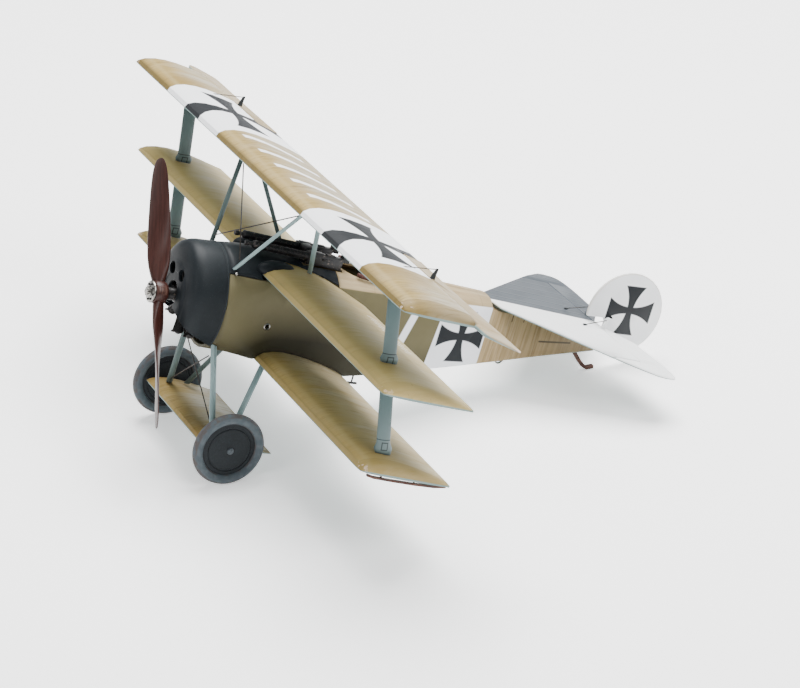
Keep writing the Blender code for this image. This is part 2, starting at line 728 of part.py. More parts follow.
def make_cowling():
    """An oval shell with a round-shouldered front plate, open at the back and cut away underneath."""
    outer = [cowl_shell(0.0, 0.24), cowl_shell(0.0, 0.64), cowl_shell(0.008, 0.66), cowl_shell(0.012, 0.80)]
    outer += [cowl_shell(0.026, 0.885), cowl_shell(0.056, 0.945), cowl_shell(0.100, 0.983)]
    outer += [cowl_shell(0.160, 1.0), cowl_shell(COWL_DEPTH, 1.0)]
    inner = [cowl_shell(COWL_DEPTH, 1.0, COWL_WALL), cowl_shell(0.160, 1.0, COWL_WALL)]
    inner += [cowl_shell(0.100, 0.96, COWL_WALL), cowl_shell(0.060, 0.88, COWL_WALL), cowl_shell(0.030, 0.24)]
    steps = 44
    shape = bmesh.new()
    rows = []
    for i in range(steps):
        angle = math.tau * i / steps
        points = [(a * math.sin(angle), y, b * math.cos(angle)) for a, b, y in outer + inner]
        rows.append([shape.verts.new(point) for point in points])
    for row, following in zip(rows, rows[1:] + rows[:1]):
        for i in range(len(row)):
            j = (i + 1) % len(row)
            shape.faces.new((row[i], row[j], following[j], following[i]))
    cowling = solid("cowling", shape, "slate_metal")
    cut(cowling, helper("cowl_mouth", cowl_mouth()))
    x, z, radius = COOLING_HOLE
    for side, word in ((1, "port"), (-1, "starboard")):
        hole = turned(((radius, -0.1), (radius, 0.1)), (side * x, 0, z), (0, 1, 0), 18)
        cut(cowling, helper("cooling_hole_" + word, hole))


def make_engine():
    make_cowling()
    solid("firewall", turned(((0.42, 0.425), (0.42, 0.445)), (0, 0, 0), (0, 1, 0), 32), "slate_metal")
    shaft_back = 0.425 - GAP
    shaft = turned(((0.030, 0.13), (0.030, 0.36), (0.07, 0.37), (0.07, shaft_back)), (0, 0, 0), (0, 1, 0), 16)
    solid("crankshaft", shaft, "polished_steel")
    nose = ((0.026, -0.215), (0.026, -0.060), (0.062, -0.050), (0.062, 0.020), (0.085, 0.050), (0.105, 0.085))
    drum = ((CRANKCASE_RADIUS, 0.10), (CRANKCASE_RADIUS, 0.30), (0.105, 0.325), (0.105, 0.345))
    crankcase = solid("engine_crankcase", turned(nose + drum, (0, 0, 0), (0, 1, 0), 24), "engine_black")
    bore = turned(((0.030 + GAP, 0.13 - GAP), (0.030 + GAP, 0.4)), (0, 0, 0), (0, 1, 0), 20)
    cut(crankcase, helper("crankcase_bore", bore))
    make_cylinders()
    make_propeller()


def cowl_mouth():
    """The cut-away under the cowling: a shallow roof whose ridge starts at the shaft and slopes down aft."""
    rings = []
    for y in (-0.10, 0.60):
        ridge = -0.085 - 0.53 * y
        eave = ridge - 0.176
        rings.append([(-0.8, y, -1.2), (0.8, y, -1.2), (0.8, y, eave), (0, y, ridge), (-0.8, y, eave)])
    return loft(rings)


def cylinder_profile():
    """(radius, distance from the shaft) of a finned cylinder: a plain foot, cooling fins, then the head."""
    base = CRANKCASE_RADIUS + GAP
    profile = [(0.036, base), (0.036, 0.170)]
    fins = 4
    for i in range(fins):
        low = 0.180 + 0.048 * i
        outer = 0.046 + 0.004 * i
        profile += [(outer, low), (outer, low + 0.018), (outer - 0.012, low + 0.026)]
    profile += [(0.052, CYLINDER_TOP - 0.030), (0.028, CYLINDER_TOP)]
    return profile


def make_cylinders():
    profile = cylinder_profile()
    for number in range(CYLINDERS):
        angle = PROPELLER_TURN + math.tau * (number + 0.5) / CYLINDERS
        out = (math.sin(angle), 0, math.cos(angle))
        shape = turned(profile, (0, CYLINDER_PLANE_Y, 0), out, 10)
        solid("cylinder_" + str(number + 1), shape, "engine_black", (0, CYLINDER_PLANE_Y, 0))


def blade_ring(radius, chord, thickness):
    """A blade section at a radius, pitched like a screw and thickest at its middle."""
    pitch = min(math.atan2(PROPELLER_PITCH, math.tau * radius), math.radians(48))
    steps = 14
    ring = []
    for i in range(steps):
        angle = math.tau * i / steps
        along_chord = 0.5 * chord * math.cos(angle)
        across = 0.5 * thickness * math.sin(angle)
        x = along_chord * math.cos(pitch) - across * math.sin(pitch)
        y = along_chord * math.sin(pitch) + across * math.cos(pitch)
        ring.append((x, y, radius))
    return ring


def blade():
    """One blade, standing up from the middle of the boss, narrow and thick at its root."""
    sections = (
        (0.050, 0.100, 0.100),
        (0.110, 0.130, 0.105),
        (0.220, 0.200, 0.085),
        (0.350, 0.240, 0.062),
        (0.550, 0.268, 0.046),
        (0.800, 0.270, 0.036),
        (1.020, 0.255, 0.029),
        (1.180, 0.225, 0.024),
        (1.270, 0.175, 0.020),
        (1.315, 0.105, 0.015),
        (PROPELLER_RADIUS, 0.040, 0.012),
    )
    return loft([blade_ring(*section) for section in sections])


def make_propeller():
    profile = ((0.100, -BOSS_HALF_DEPTH), (0.112, -0.030), (0.112, 0.030), (0.100, BOSS_HALF_DEPTH))
    boss = turned(profile, (0, PROPELLER_Y, 0), (0, 1, 0), 26)
    propeller = solid("propeller", boss, "mahogany", (0, PROPELLER_Y, 0))
    for number in range(2):
        shape = blade()
        turn = Matrix.Rotation(PROPELLER_TURN + math.pi * number, 4, "Y")
        shape.transform(Matrix.Translation((0, PROPELLER_Y, 0)) @ turn)
        join(propeller, helper("blade_" + str(number + 1), shape))
    bore = turned(((0.026 + GAP, -0.2), (0.026 + GAP, 0.2)), (0, PROPELLER_Y, 0), (0, 1, 0), 20)
    cut(propeller, helper("propeller_bore", bore))
    face = PROPELLER_Y - BOSS_HALF_DEPTH - GAP
    nut = ((0.030, -0.060), (0.036, -0.054), (0.036, -0.034), (0.052, -0.030), (0.052, -0.018))
    plate = ((0.104, -0.014), (0.108, -0.010), (0.108, 0.0))
    middle = (0, face, 0)
    hub = solid("propeller_hub", turned(nut + plate, middle, (0, 1, 0), 24), "polished_steel", middle)
    for number in range(HUB_BOLTS):
        angle = math.tau * number / HUB_BOLTS
        at = (0.078 * math.cos(angle), face, 0.078 * math.sin(angle))
        bolt = turned(((0.012, -0.026), (0.012, -0.01)), at, (0, 1, 0), 6)
        join(hub, helper("hub_bolt_" + str(number + 1), bolt))
    socket = turned(((0.026 + GAP, -0.012), (0.026 + GAP, 0.1)), (0, face, 0), (0, 1, 0), 20)
    cut(hub, helper("hub_socket", socket))


# ---------------------------------------------------------------- struts, bracing and undercarriage


def strut(name, low, high, chord, thickness, flares=()):
    """A streamlined strut whose section stays level; flares are (fraction along, growth) of its feet."""
    low, high = Vector(low), Vector(high)
    stations = sorted({0.0: 1.0, 1.0: 1.0, **dict(flares)}.items())
    rings = []
    steps = 14
    for fraction, growth in stations:
        centre = low.lerp(high, fraction)
        ring = []
        for i in range(steps):
            angle = math.tau * i / steps
            across, fore = 0.5 * thickness * math.sin(angle), 0.5 * chord * math.cos(angle)
            ring.append(centre + growth * Vector((across, fore, 0)))
        rings.append(ring)
    return solid(name, loft(rings), "pale_turquoise")


def make_struts():
    upper = wing_cutter("upper_wing_trim", UPPER_WING)
    middle = wing_cutter("middle_wing_trim", MIDDLE_WING)
    lower = wing_cutter("lower_wing_trim", LOWER_WING)
    envelope = bpy.data.objects["fuselage_envelope"]
    flare = ((0.13, 1.32), (0.19, 1.0))
    for side, word in ((1, "port"), (-1, "starboard")):
        top, waist, bottom = (side * 2.50, 0.89, 1.27), (side * 2.56, 1.03, 0.45), (side * 2.65, 1.19, -0.40)
        cut(strut("upper_strut_" + word, waist, top, 0.145, 0.050, flare), upper, middle)
        cut(strut("lower_strut_" + word, bottom, waist, 0.145, 0.050, flare), middle, lower)
        foot, head = (side * 0.300, 0.42, 0.42), (side * 0.79, 0.76, 1.27)
        cut(strut("cabane_front_" + word, foot, head, 0.050, 0.034), upper, envelope)
        foot, head = (side * 0.33, 1.22, 0.46), (side * 0.80, 0.90, 1.27)
        cut(strut("cabane_rear_" + word, foot, head, 0.050, 0.034), upper, middle, envelope)
    crossed_wires("cabane", (0.345, 0.44, 0.52), (0.72, 0.745, 1.195))


def crossed_wires(name, foot, head):
    """Two taut wires from each side's foot to the other side's head, drawn in from their fittings."""
    wires = []
    for side, suffix, material in ((1, "_bracing", "wire_steel"), (-1, "_second_wire", None)):
        low = Vector((side * foot[0], foot[1], foot[2]))
        high = Vector((-side * head[0], head[1], head[2]))
        short = (high - low).normalized() * 0.035
        wires.append(rod(name + suffix, (low + short, high - short), 0.0062, material, sides=1))
    join(wires[0], wires[1])


def make_undercarriage():
    envelope = bpy.data.objects["fuselage_envelope"]
    lower = bpy.data.objects["lower_wing_trim"]
    front, back, level, half = AXLE_WING
    stations = []
    for x in (-half, -half + 0.03, half - 0.03, half):
        shrink = 0.6 if abs(x) == half else 1.0
        stations.append((x, shrink))
    rings = []
    for x, shrink in stations:
        upper, under = [], []
        steps = 9
        for i in range(steps + 1):
            t = 0.5 - 0.5 * math.cos(math.pi * i / steps)
            y = mix(front, back, t)
            centre = level - 0.05 * t
            upper.append((x, y, centre + shrink * 0.072 * wing_rise(t) + 0.004 * t))
            under.append((x, y, centre - shrink * 0.052 * wing_rise(t) - 0.004 * t))
        rings.append(upper + under[:0:-1])
    axle_wing = solid("axle_wing", loft(rings), "tan_wing")
    bore = turned(((AXLE_RADIUS + GAP, -1.0), (AXLE_RADIUS + GAP, 1.0)), (0, AXLE_Y, AXLE_Z), (1, 0, 0), 16)
    cut(axle_wing, helper("axle_bore", bore))
    trim = helper("axle_wing_trim", box((0, 0.7, -1.30), (2.0, 1.4, 2 * 0.152)))
    for side, word in ((1, "port"), (-1, "starboard")):
        foot, head = (side * 0.592, 0.530, -1.20), (side * 0.305, 0.418, -0.30)
        cut(strut("gear_strut_front_" + word, foot, head, 0.066, 0.040), trim, envelope)
        foot, head = (side * 0.602, 0.702, -1.20), (side * 0.335, 1.010, -0.43)
        cut(strut("gear_strut_rear_" + word, foot, head, 0.066, 0.038), trim, envelope, lower)
    crossed_wires("undercarriage", (0.545, 0.51, -1.10), (0.33, 0.41, -0.46))
    make_wheels()


def make_wheels():
    end = WHEEL_X + 0.065
    cap = [(AXLE_RADIUS, end - 0.024), (0.032, end - 0.022), (0.032, end), (0.022, end + 0.012)]
    profile = [(radius, -along_axle) for radius, along_axle in reversed(cap)] + cap
    middle = (0, AXLE_Y, AXLE_Z)
    solid("axle", turned(profile, middle, (1, 0, 0), 16), "polished_steel", middle)
    hole = AXLE_RADIUS + GAP
    tube = circle(TYRE_SECTION, 10, (TYRE_RADIUS - TYRE_SECTION, 0))
    cover = [(hole, 0.040), (0.060, 0.040), (DISC_RADIUS, 0.014)]
    cover += [(radius, -across) for radius, across in reversed(cover)]
    for side, word in ((1, "port"), (-1, "starboard")):
        centre = (side * WHEEL_X, AXLE_Y, AXLE_Z)
        solid("tyre_" + word, hoop(tube, centre, (1, 0, 0), 40), "tyre_grey", centre)
        solid("wheel_disc_" + word, hoop(cover, centre, (1, 0, 0), 32), "disc_slate", centre)


def make_wing_skids():
    """A bent ash skid under each lower wing tip, on two short posts."""
    path = ((1.05, -0.545), (1.12, -0.563), (1.32, -0.582), (1.57, -0.600), (1.78, -0.608), (1.90, -0.600))
    trim = bpy.data.objects["lower_wing_trim"]
    for side, word in ((1, "port"), (-1, "starboard")):
        body = bar(path, 0.016, 0.010)
        body.transform(Matrix.Translation((side * 2.70, 0, 0)))
        skid = solid("wing_skid_" + word, body, "skid_ash")
        for number, (y, z) in enumerate(((1.20, -0.568), (1.56, -0.596))):
            ends = ((side * 2.70, y, z), (side * 2.70, y, -0.45))
            post = rod("skid_post_%s_%d" % (word, number), ends, 0.010, None, sides=1)
            cut(post, trim)
            join(skid, post)


# ---------------------------------------------------------------- assembly


def stand_on_ground():
    """Pitches the airframe up until wheels and skid share the ground, then centres it over the origin."""
    across = Vector((SKID_Y - AXLE_Y, SKID_Z - AXLE_Z))
    drop = (SKID_HALF_THICKNESS - TYRE_RADIUS) / across.length
    pitch = math.atan2(across.y, across.x) - math.asin(drop)
    airframe.rotation_euler.x = -pitch
    bpy.context.view_layer.update()
    graph = bpy.context.evaluated_depsgraph_get()
    lows, highs = Vector((9, 9, 9)), Vector((-9, -9, -9))
    for obj in parts.objects:
        if obj.type != "MESH":
            continue
        shown = obj.evaluated_get(graph)
        mesh = shown.to_mesh()
        for vertex in mesh.vertices:
            at = shown.matrix_world @ vertex.co
            lows = Vector(map(min, lows, at))
            highs = Vector(map(max, highs, at))
        shown.to_mesh_clear()
    middle = (lows + highs) / 2
    airframe.location = (-middle.x, -middle.y, -lows.z)
    bpy.context.view_layer.update()


helper("fuselage_envelope", fuselage_solid(STATIONS, GAP))
make_wings()
make_ailerons()
make_fuselage()
make_cockpit()
make_guns()
make_tail()
make_engine()
make_struts()
make_undercarriage()
make_wing_skids()
stand_on_ground()
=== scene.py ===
# %% [markdown]
# # A triplane display model, from its frame to its paint
# The model is 1/24 of a small three-winged fighter. Its solid frame already exists, with every joint in
# place. This lesson gives it its surface: smooth mouldings, fine fittings, and paint that shows age.
# Everything is thought out in the full-size aircraft's own axes (x to port, y aft, z up, metres, from the
# thrust line at the cowling's front), because its fittings are easy to picture at that size. One matrix
# then sets each finished piece into the model, nose up on its wheels.

# %% Load the frame
import json
import math

import bmesh
import bpy
from mathutils import Matrix, Vector

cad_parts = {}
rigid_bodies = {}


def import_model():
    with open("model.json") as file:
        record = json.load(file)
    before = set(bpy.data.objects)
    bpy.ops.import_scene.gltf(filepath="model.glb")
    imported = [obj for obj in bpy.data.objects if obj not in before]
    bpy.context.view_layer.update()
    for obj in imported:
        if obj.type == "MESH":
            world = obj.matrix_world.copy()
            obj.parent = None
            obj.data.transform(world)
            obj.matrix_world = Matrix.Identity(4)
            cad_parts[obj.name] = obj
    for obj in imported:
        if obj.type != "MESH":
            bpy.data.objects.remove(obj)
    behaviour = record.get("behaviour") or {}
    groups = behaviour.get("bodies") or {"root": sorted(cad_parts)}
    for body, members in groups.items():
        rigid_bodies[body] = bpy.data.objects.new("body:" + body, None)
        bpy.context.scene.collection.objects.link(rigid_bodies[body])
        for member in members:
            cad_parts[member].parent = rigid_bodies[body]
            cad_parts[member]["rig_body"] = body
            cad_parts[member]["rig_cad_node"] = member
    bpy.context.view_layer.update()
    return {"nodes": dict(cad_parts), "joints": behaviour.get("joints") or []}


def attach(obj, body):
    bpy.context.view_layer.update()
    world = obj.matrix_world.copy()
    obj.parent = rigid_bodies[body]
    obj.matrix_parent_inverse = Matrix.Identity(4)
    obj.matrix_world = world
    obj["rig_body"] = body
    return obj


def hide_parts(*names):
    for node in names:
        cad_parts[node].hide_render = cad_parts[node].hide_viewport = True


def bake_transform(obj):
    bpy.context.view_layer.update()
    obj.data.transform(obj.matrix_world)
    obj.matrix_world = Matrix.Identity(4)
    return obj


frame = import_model()
joints = {joint["name"]: joint for joint in frame["joints"]}

# %% [markdown]
# The aircraft's axes come from the frame itself: the engine's axis points aft, and its pivot lies a known
# distance ahead of the cowling. From these two the whole attitude follows.

# %% The aircraft's axes
SCALE = 1 / 24
PROPELLER_Y = -0.137
aft = Vector(joints["engine_spin"]["axis"]).normalized()
start = Vector(joints["engine_spin"]["pos_m"]) - aft * PROPELLER_Y * SCALE
PITCH = math.atan2(aft.z, aft.y)
AIRCRAFT = Matrix.Translation(start) @ Matrix.Rotation(PITCH, 4, "X") @ Matrix.Scale(SCALE, 4)
print("nose up by", round(-math.degrees(PITCH), 2), "degrees")

# %% [markdown]
# ## Tools for modelling
# Every operator works on the selection, so a helper first clears it. In edit mode, vertices or faces are
# picked by where they are, as one would drag a box round them. A finished piece is set in its place with
# its transform applied, rides on its body, and hides the plain solid that it stands for.


# %% Selection helpers
def only(piece):
    """Makes piece the one selected and active object."""
    bpy.ops.object.select_all(action="DESELECT")
    piece.select_set(True)
    bpy.context.view_layer.objects.active = piece
    return piece


def added(name):
    """Takes the object that a primitive operator has just made."""
    piece = bpy.context.object
    piece.name = name
    piece.data.name = name
    return only(piece)


def edit(piece, mode="VERT"):
    """Opens a piece for editing with nothing selected."""
    only(piece)
    bpy.ops.object.mode_set(mode="EDIT")
    bpy.ops.mesh.select_mode(type=mode)
    bpy.ops.mesh.select_all(action="DESELECT")
    return bmesh.from_edit_mesh(piece.data)


def pick_points(piece, shape, test):
    for vertex in shape.verts:
        vertex.select_set(test(vertex.co))
    shape.select_flush(True)
    bmesh.update_edit_mesh(piece.data)


def pick_faces(piece, shape, test):
    for face in shape.faces:
        face.select_set(test(face.calc_center_median(), face.normal))
    bmesh.update_edit_mesh(piece.data)


def done(piece):
    bpy.ops.object.mode_set(mode="OBJECT")
    return piece


def apply_modifier(piece, kind, **settings):
    only(piece)
    modifier = piece.modifiers.new(kind.lower(), kind)
    for key, value in settings.items():
        setattr(modifier, key, value)
    bpy.ops.object.modifier_apply(modifier=modifier.name)
    return piece


# %% Finishing helpers
def settle(piece, body, slot, finish, *nodes, angle=35):
    """Sets a piece modelled in the aircraft's axes into the model, and hides the nodes it stands for."""
    only(piece)
    piece.matrix_world = AIRCRAFT @ piece.matrix_world
    bpy.ops.object.transform_apply(location=True, rotation=True, scale=True)
    return dress(piece, body, slot, finish, *nodes, angle=angle)


def dress(piece, body, slot, finish, *nodes, angle=35):
    """Smooths a piece that is in place, paints it, and lets it ride on its body."""
    only(piece)
    bpy.ops.object.shade_smooth_by_angle(angle=math.radians(angle))
    piece.data.materials.clear()
    piece.data.materials.append(finish)
    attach(piece, body)
    if nodes:
        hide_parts(*nodes)
    return piece


def copied(piece, name, place):
    """A copy with its own mesh, moved by a matrix in the aircraft's axes."""
    other = piece.copy()
    other.data = piece.data.copy()
    other.name = name
    other.data.name = name
    bpy.context.scene.collection.objects.link(other)
    other.matrix_world = place @ piece.matrix_world
    return other


def fused(pieces, name):
    """Joins several pieces into one object."""
    bpy.ops.object.select_all(action="DESELECT")
    for piece in pieces:
        piece.select_set(True)
    bpy.context.view_layer.objects.active = pieces[0]
    bpy.ops.object.join()
    pieces[0].name = name
    pieces[0].data.name = name
    return only(pieces[0])


def moulding(node):
    """A welded copy of a node's faceted solid, ready to be smoothed as one skin."""
    source = frame["nodes"][node]
    piece = source.copy()
    piece.data = source.data.copy()
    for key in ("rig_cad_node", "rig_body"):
        if key in piece:
            del piece[key]
    piece.name = node + "_skin"
    piece.data.name = piece.name
    piece.parent = None
    bpy.context.scene.collection.objects.link(piece)
    edit(piece)
    bpy.ops.mesh.select_all(action="SELECT")
    bpy.ops.mesh.remove_doubles(threshold=0.000002)
    bpy.ops.mesh.tris_convert_to_quads()
    return done(piece)


print("modelling helpers ready")

# %% [markdown]
# ## Tools for paint
# Paint is built from sums: where a band starts, how strong a streak is, how two tints mix. Writing them as
# Python expressions keeps them readable, so a small class wraps a socket and turns + - * / into Math
# nodes. Colours go through Mix nodes. Every other node comes from one method of the paint pot.


# %% Sums of sockets
class Wave:
    """A number that varies over a surface."""

    def __init__(self, pot, socket):
        self.pot = pot
        self.socket = socket

    def sum(self, operation, first, second=0.0):
        return self.pot.node("ShaderNodeMath", {"operation": operation}, {0: first, 1: second})

    def __add__(self, other):
        return self.sum("ADD", self, other)

    def __radd__(self, other):
        return self.sum("ADD", other, self)

    def __sub__(self, other):
        return self.sum("SUBTRACT", self, other)

    def __rsub__(self, other):
        return self.sum("SUBTRACT", other, self)

    def __mul__(self, other):
        return self.sum("MULTIPLY", self, other)

    def __rmul__(self, other):
        return self.sum("MULTIPLY", other, self)

    def __truediv__(self, other):
        return self.sum("DIVIDE", self, other)

    def __rtruediv__(self, other):
        return self.sum("DIVIDE", other, self)

    def __pow__(self, other):
        return self.sum("POWER", self, other)

    def __abs__(self):
        return self.sum("ABSOLUTE", self)

    def least(self, other):
        return self.sum("MINIMUM", self, other)

    def most(self, other):
        return self.sum("MAXIMUM", self, other)

    def fraction(self):
        return self.sum("FRACT", self)

    def root(self):
        return self.sum("SQRT", self)

    def rises(self, low, high):
        """0 below low, 1 above high, and smooth between them. It falls if low is the larger."""
        settings = {"interpolation_type": "SMOOTHSTEP"}
        values = {"Value": self, "From Min": min(low, high), "From Max": max(low, high)}
        if low >= high:
            values.update({"To Min": 1.0, "To Max": 0.0})
        return self.pot.node("ShaderNodeMapRange", settings, values)

    def within(self, low, high, soft):
        """1 between low and high, fading over soft at each edge."""
        return self.rises(low - soft, low + soft) * self.rises(high + soft, high - soft)


# %% The paint pot
class Paint:
    """One finish: a Principled shader and the nodes that vary it, in the aircraft's axes."""

    def __init__(self, name, roughness=0.5, metallic=0.0, **sockets):
        self.material = bpy.data.materials.new(name)
        self.material.use_nodes = True
        self.tree = self.material.node_tree
        self.shader = self.tree.nodes["Principled BSDF"]
        self.set(roughness=roughness, metallic=metallic, **sockets)
        attitude = {
            "Location": tuple(start),
            "Rotation": (PITCH, 0, 0),
            "Scale": (SCALE, SCALE, SCALE),
        }
        spot = self.node("ShaderNodeTexCoord", {}, {}, "Object")
        self.spot = self.node("ShaderNodeMapping", {"vector_type": "TEXTURE"}, {"Vector": spot, **attitude})
        split = self.tree.nodes.new("ShaderNodeSeparateXYZ")
        self.tree.links.new(self.spot.socket, split.inputs[0])
        self.x, self.y, self.z = (Wave(self, output) for output in split.outputs)

    def node(self, kind, settings, values, output=0):
        """Adds a node: its settings first, then the values or links of its sockets."""
        made = self.tree.nodes.new(kind)
        for key, value in settings.items():
            setattr(made, key, value)
        for key, value in values.items():
            if isinstance(value, Wave):
                self.tree.links.new(value.socket, made.inputs[key])
            else:
                made.inputs[key].default_value = value
        return Wave(self, made.outputs[output])

    def set(self, **sockets):
        """Sets or links the shader's own sockets, named in lower case with underscores."""
        for key, value in sockets.items():
            socket = self.shader.inputs[key.replace("_", " ").title().replace("Ior", "IOR")]
            if isinstance(value, Wave):
                self.tree.links.new(value.socket, socket)
            elif socket.type == "RGBA":
                socket.default_value = (*value, 1)
            else:
                socket.default_value = value
        return self

    def mix(self, amount, below, above):
        """A colour that turns from below to above as amount goes from 0 to 1."""
        below, above = (c if isinstance(c, Wave) else (*c, 1) for c in (below, above))
        return self.node("ShaderNodeMix", {"data_type": "RGBA"}, {0: amount, 6: below, 7: above}, 2)

    def stretched(self, sx, sy, sz):
        """The place on the surface with each axis stretched, so that a pattern turns into streaks."""
        return self.node("ShaderNodeMapping", {}, {"Vector": self.spot, "Scale": (sx, sy, sz)})

    def texture(self, where, scale, detail, rough):
        values = {"Vector": where, "Scale": scale, "Detail": detail, "Roughness": rough}
        return self.node("ShaderNodeTexNoise", {}, values)

    def noise(self, scale, stretch=(1, 1, 1), detail=3.0, rough=0.5):
        return self.texture(self.stretched(*stretch), scale, detail, rough)

    def bump(self, height, strength, distance=0.0002):
        values = {"Height": height, "Strength": strength, "Distance": distance}
        self.set(normal=self.node("ShaderNodeBump", {}, values))
        return self


print("paint pot ready")

# %% [markdown]
# ## Streaked wing paint
# The backs of the wings are brushed in ochre and grey-beige over tan, mostly along the chord and slightly
# slanted. The brush leaves more yellow near the front edge and round the strut feet, and the tips show a
# darker band with small chips at the corner. The undersides are a pale grey turquoise that wraps up to
# the front edge. One function makes all three wings: it knows each wing's front edge, level and span.

# %% Colours
OCHRE = (0.270, 0.190, 0.060)
TAN = (0.300, 0.232, 0.130)
GREIGE = (0.345, 0.305, 0.225)
# A paler tan that lightens the middle and lower wings as painted light against the shadow of the wings
# above.
PAINTED_LIGHT_TAN = (0.50, 0.385, 0.150)
UMBER = (0.115, 0.076, 0.024)
TURQUOISE = (0.185, 0.255, 0.245)
WHITE = (0.80, 0.81, 0.83)
SLATE = (0.0080, 0.0104, 0.0125)
CROSS_GREY = (0.0105, 0.0122, 0.0145)
PINK_CHIP = (0.52, 0.40, 0.33)
OLIVE = (0.105, 0.092, 0.047)
DARK_LINE = (0.05, 0.038, 0.022)


# %% Markings as shapes
def flared_cross(pot, across, along, arm, waist, flare):
    """1 on a cross whose four arms widen outwards in a curve, measured across and along from its middle."""
    a, b = abs(across), abs(along)
    soft = 0.008

    def limb(length_way, width_way):
        width = waist + flare * (length_way / arm) ** 2.2
        edge = width - width_way
        return edge.rises(-soft, soft) * length_way.rises(arm + soft, arm - soft)

    return limb(a, b).most(limb(b, a))


def slanted_bar(across, along, half_long, half_wide, slant):
    """1 on a plain slanted bar."""
    soft = 0.008
    shifted = across - along * slant
    return shifted.within(-half_wide, half_wide, soft) * along.within(-half_long, half_long, soft)


# %% Wing paint
CHORD = 1.0
WING_DROP = 0.091
# Each wing's front edge, level and half span; then where its outer struts stand.
UPPER = (0.546, 1.299, 3.31)
MIDDLE = (0.720, 0.420, 3.09)
LOWER = (0.857, -0.437, 2.87)
STRUT_X = {"upper_wing": 2.50, "middle_wing": 2.58, "lower_wing": 2.65}


def brushed_tan(pot, back, reach):
    """Brushed ochre, tan and grey-beige. back runs from 0 at the front edge to 1 at the rear one."""
    slant = pot.x + pot.y * 0.18
    lane = pot.node("ShaderNodeCombineXYZ", {}, {"X": slant, "Y": pot.y * 0.10, "Z": pot.z * 0.1})
    broad = pot.texture(lane, 5.5, 4.0, 0.6)
    fine = pot.texture(lane, 34.0, 3.0, 0.7)
    cloud = pot.noise(3.2, detail=3.0)
    grey = back.rises(0.10, 0.55) * 0.62 + broad.rises(0.42, 0.62) * 0.45 * back.rises(0.05, 0.4)
    base = pot.mix(grey, OCHRE, GREIGE)
    base = pot.mix(cloud.rises(0.45, 0.75) * 0.45, base, TAN)
    base = pot.mix(fine.rises(0.48, 0.70) * 0.50, base, UMBER)
    base = pot.mix(fine.rises(0.46, 0.30) * 0.20, base, (0.40, 0.345, 0.24))
    foot = abs(abs(pot.x) - reach).rises(0.34, 0.05) * back.rises(0.85, 0.35)
    return pot.mix(foot * 0.55, base, (0.19, 0.125, 0.034)), fine


def wing_paint(name, wing):
    front, level, half = wing
    pot = Paint(name + "_paint", 0.46, specular_ior_level=0.17)
    back = (pot.y - front) / CHORD
    lift = pot.z - level + back * WING_DROP
    colour, fine = brushed_tan(pot, back, STRUT_X[name])
    edge = back.rises(0.055, 0.02)
    colour = pot.mix(edge * 0.75, colour, (0.110, 0.078, 0.022))
    ridge = back.within(0.075, 0.13, 0.025)
    colour = pot.mix(ridge * 0.35, colour, (0.36, 0.29, 0.145))
    tip = (abs(pot.x) - (half - 0.105)).rises(-0.012, 0.012)
    colour = pot.mix(tip * 0.55, colour, (0.155, 0.105, 0.028))
    seam = abs(abs(pot.x) - (half - 0.105)).rises(0.009, 0.003)
    colour = pot.mix(seam * 0.45, colour, UMBER)
    scuffs = pot.noise(26.0, (1.0, 0.55, 1.0), 4.0, 0.65)
    corner = abs(pot.x).rises(half - 0.20, half - 0.02) * back.rises(0.20, 0.02)
    colour = pot.mix((scuffs + corner * 0.20).rises(0.72, 0.76) * corner, colour, PINK_CHIP)
    scratch = pot.noise(15.0, (0.22, 1.6, 1.0), 2.0, 0.4).rises(0.735, 0.755) * tip
    colour = pot.mix(scratch, colour, DARK_LINE)
    if wing is UPPER:
        colour = upper_markings(pot, colour, back, fine)
    # Painted light: the middle wing lies in the upper wing's shadow, so its tan is painted paler by half.
    if wing is MIDDLE:
        colour = pot.mix(0.50, colour, PAINTED_LIGHT_TAN)
        colour = small_bars(pot, colour, back)
    # Painted light: the lower wing's tan is painted a little paler against the shadow of the wings above.
    if wing is LOWER:
        colour = pot.mix(0.25, colour, PAINTED_LIGHT_TAN)
    under = lift.rises(0.010, 0.003)
    below = pot.mix(pot.noise(4.0, detail=4.0).rises(0.35, 0.7) * 0.35, TURQUOISE, (0.13, 0.18, 0.175))
    pot.set(base_color=pot.mix(under, colour, below))
    pot.set(roughness=0.40 + fine * 0.16 + under * 0.10)
    ribs = ((pot.x / 0.295 + 40.5).fraction() - 0.5) * 0.295
    rib = abs(ribs).rises(0.030, 0.0) * back.rises(0.06, 0.2)
    weave = pot.noise(160.0, (1.0, 1.0, 1.0), 2.0)
    pot.bump(rib * 0.25 + fine * 0.18 + weave * 0.10, 0.55, 0.00012)
    return pot.material


# %% [markdown]
# The upper wing carries a white panel on each side with a plain flared cross, and a row of plain slanted
# bars between them. They are hand-brushed too: a little of the streaking shows through the white.


# %% Upper wing markings
PANEL_INNER = 1.05
PANEL_OUTER = 2.38


def upper_markings(pot, colour, back, fine):
    side = abs(pot.x)
    panel = side.within(PANEL_INNER, PANEL_OUTER, 0.006)
    white = pot.mix(fine.rises(0.35, 0.75) * 0.20, WHITE, (0.66, 0.68, 0.70))
    across = side - (PANEL_INNER + PANEL_OUTER) / 2
    along = back - 0.48
    cross = flared_cross(pot, across, along, 0.50, 0.060, 0.135)
    outline = flared_cross(pot, across, along, 0.53, 0.095, 0.155)
    panel_colour = pot.mix(cross * outline, white, CROSS_GREY)
    cell = (pot.x / 0.40 + 20.5).fraction() - 0.5
    bar = slanted_bar(cell * 0.40, back - 0.52, 0.30, 0.045, 0.35)
    bars = bar * side.rises(PANEL_INNER - 0.03, PANEL_INNER - 0.07)
    colour = pot.mix(bars * 0.92, colour, white)
    return pot.mix(panel, colour, panel_colour)


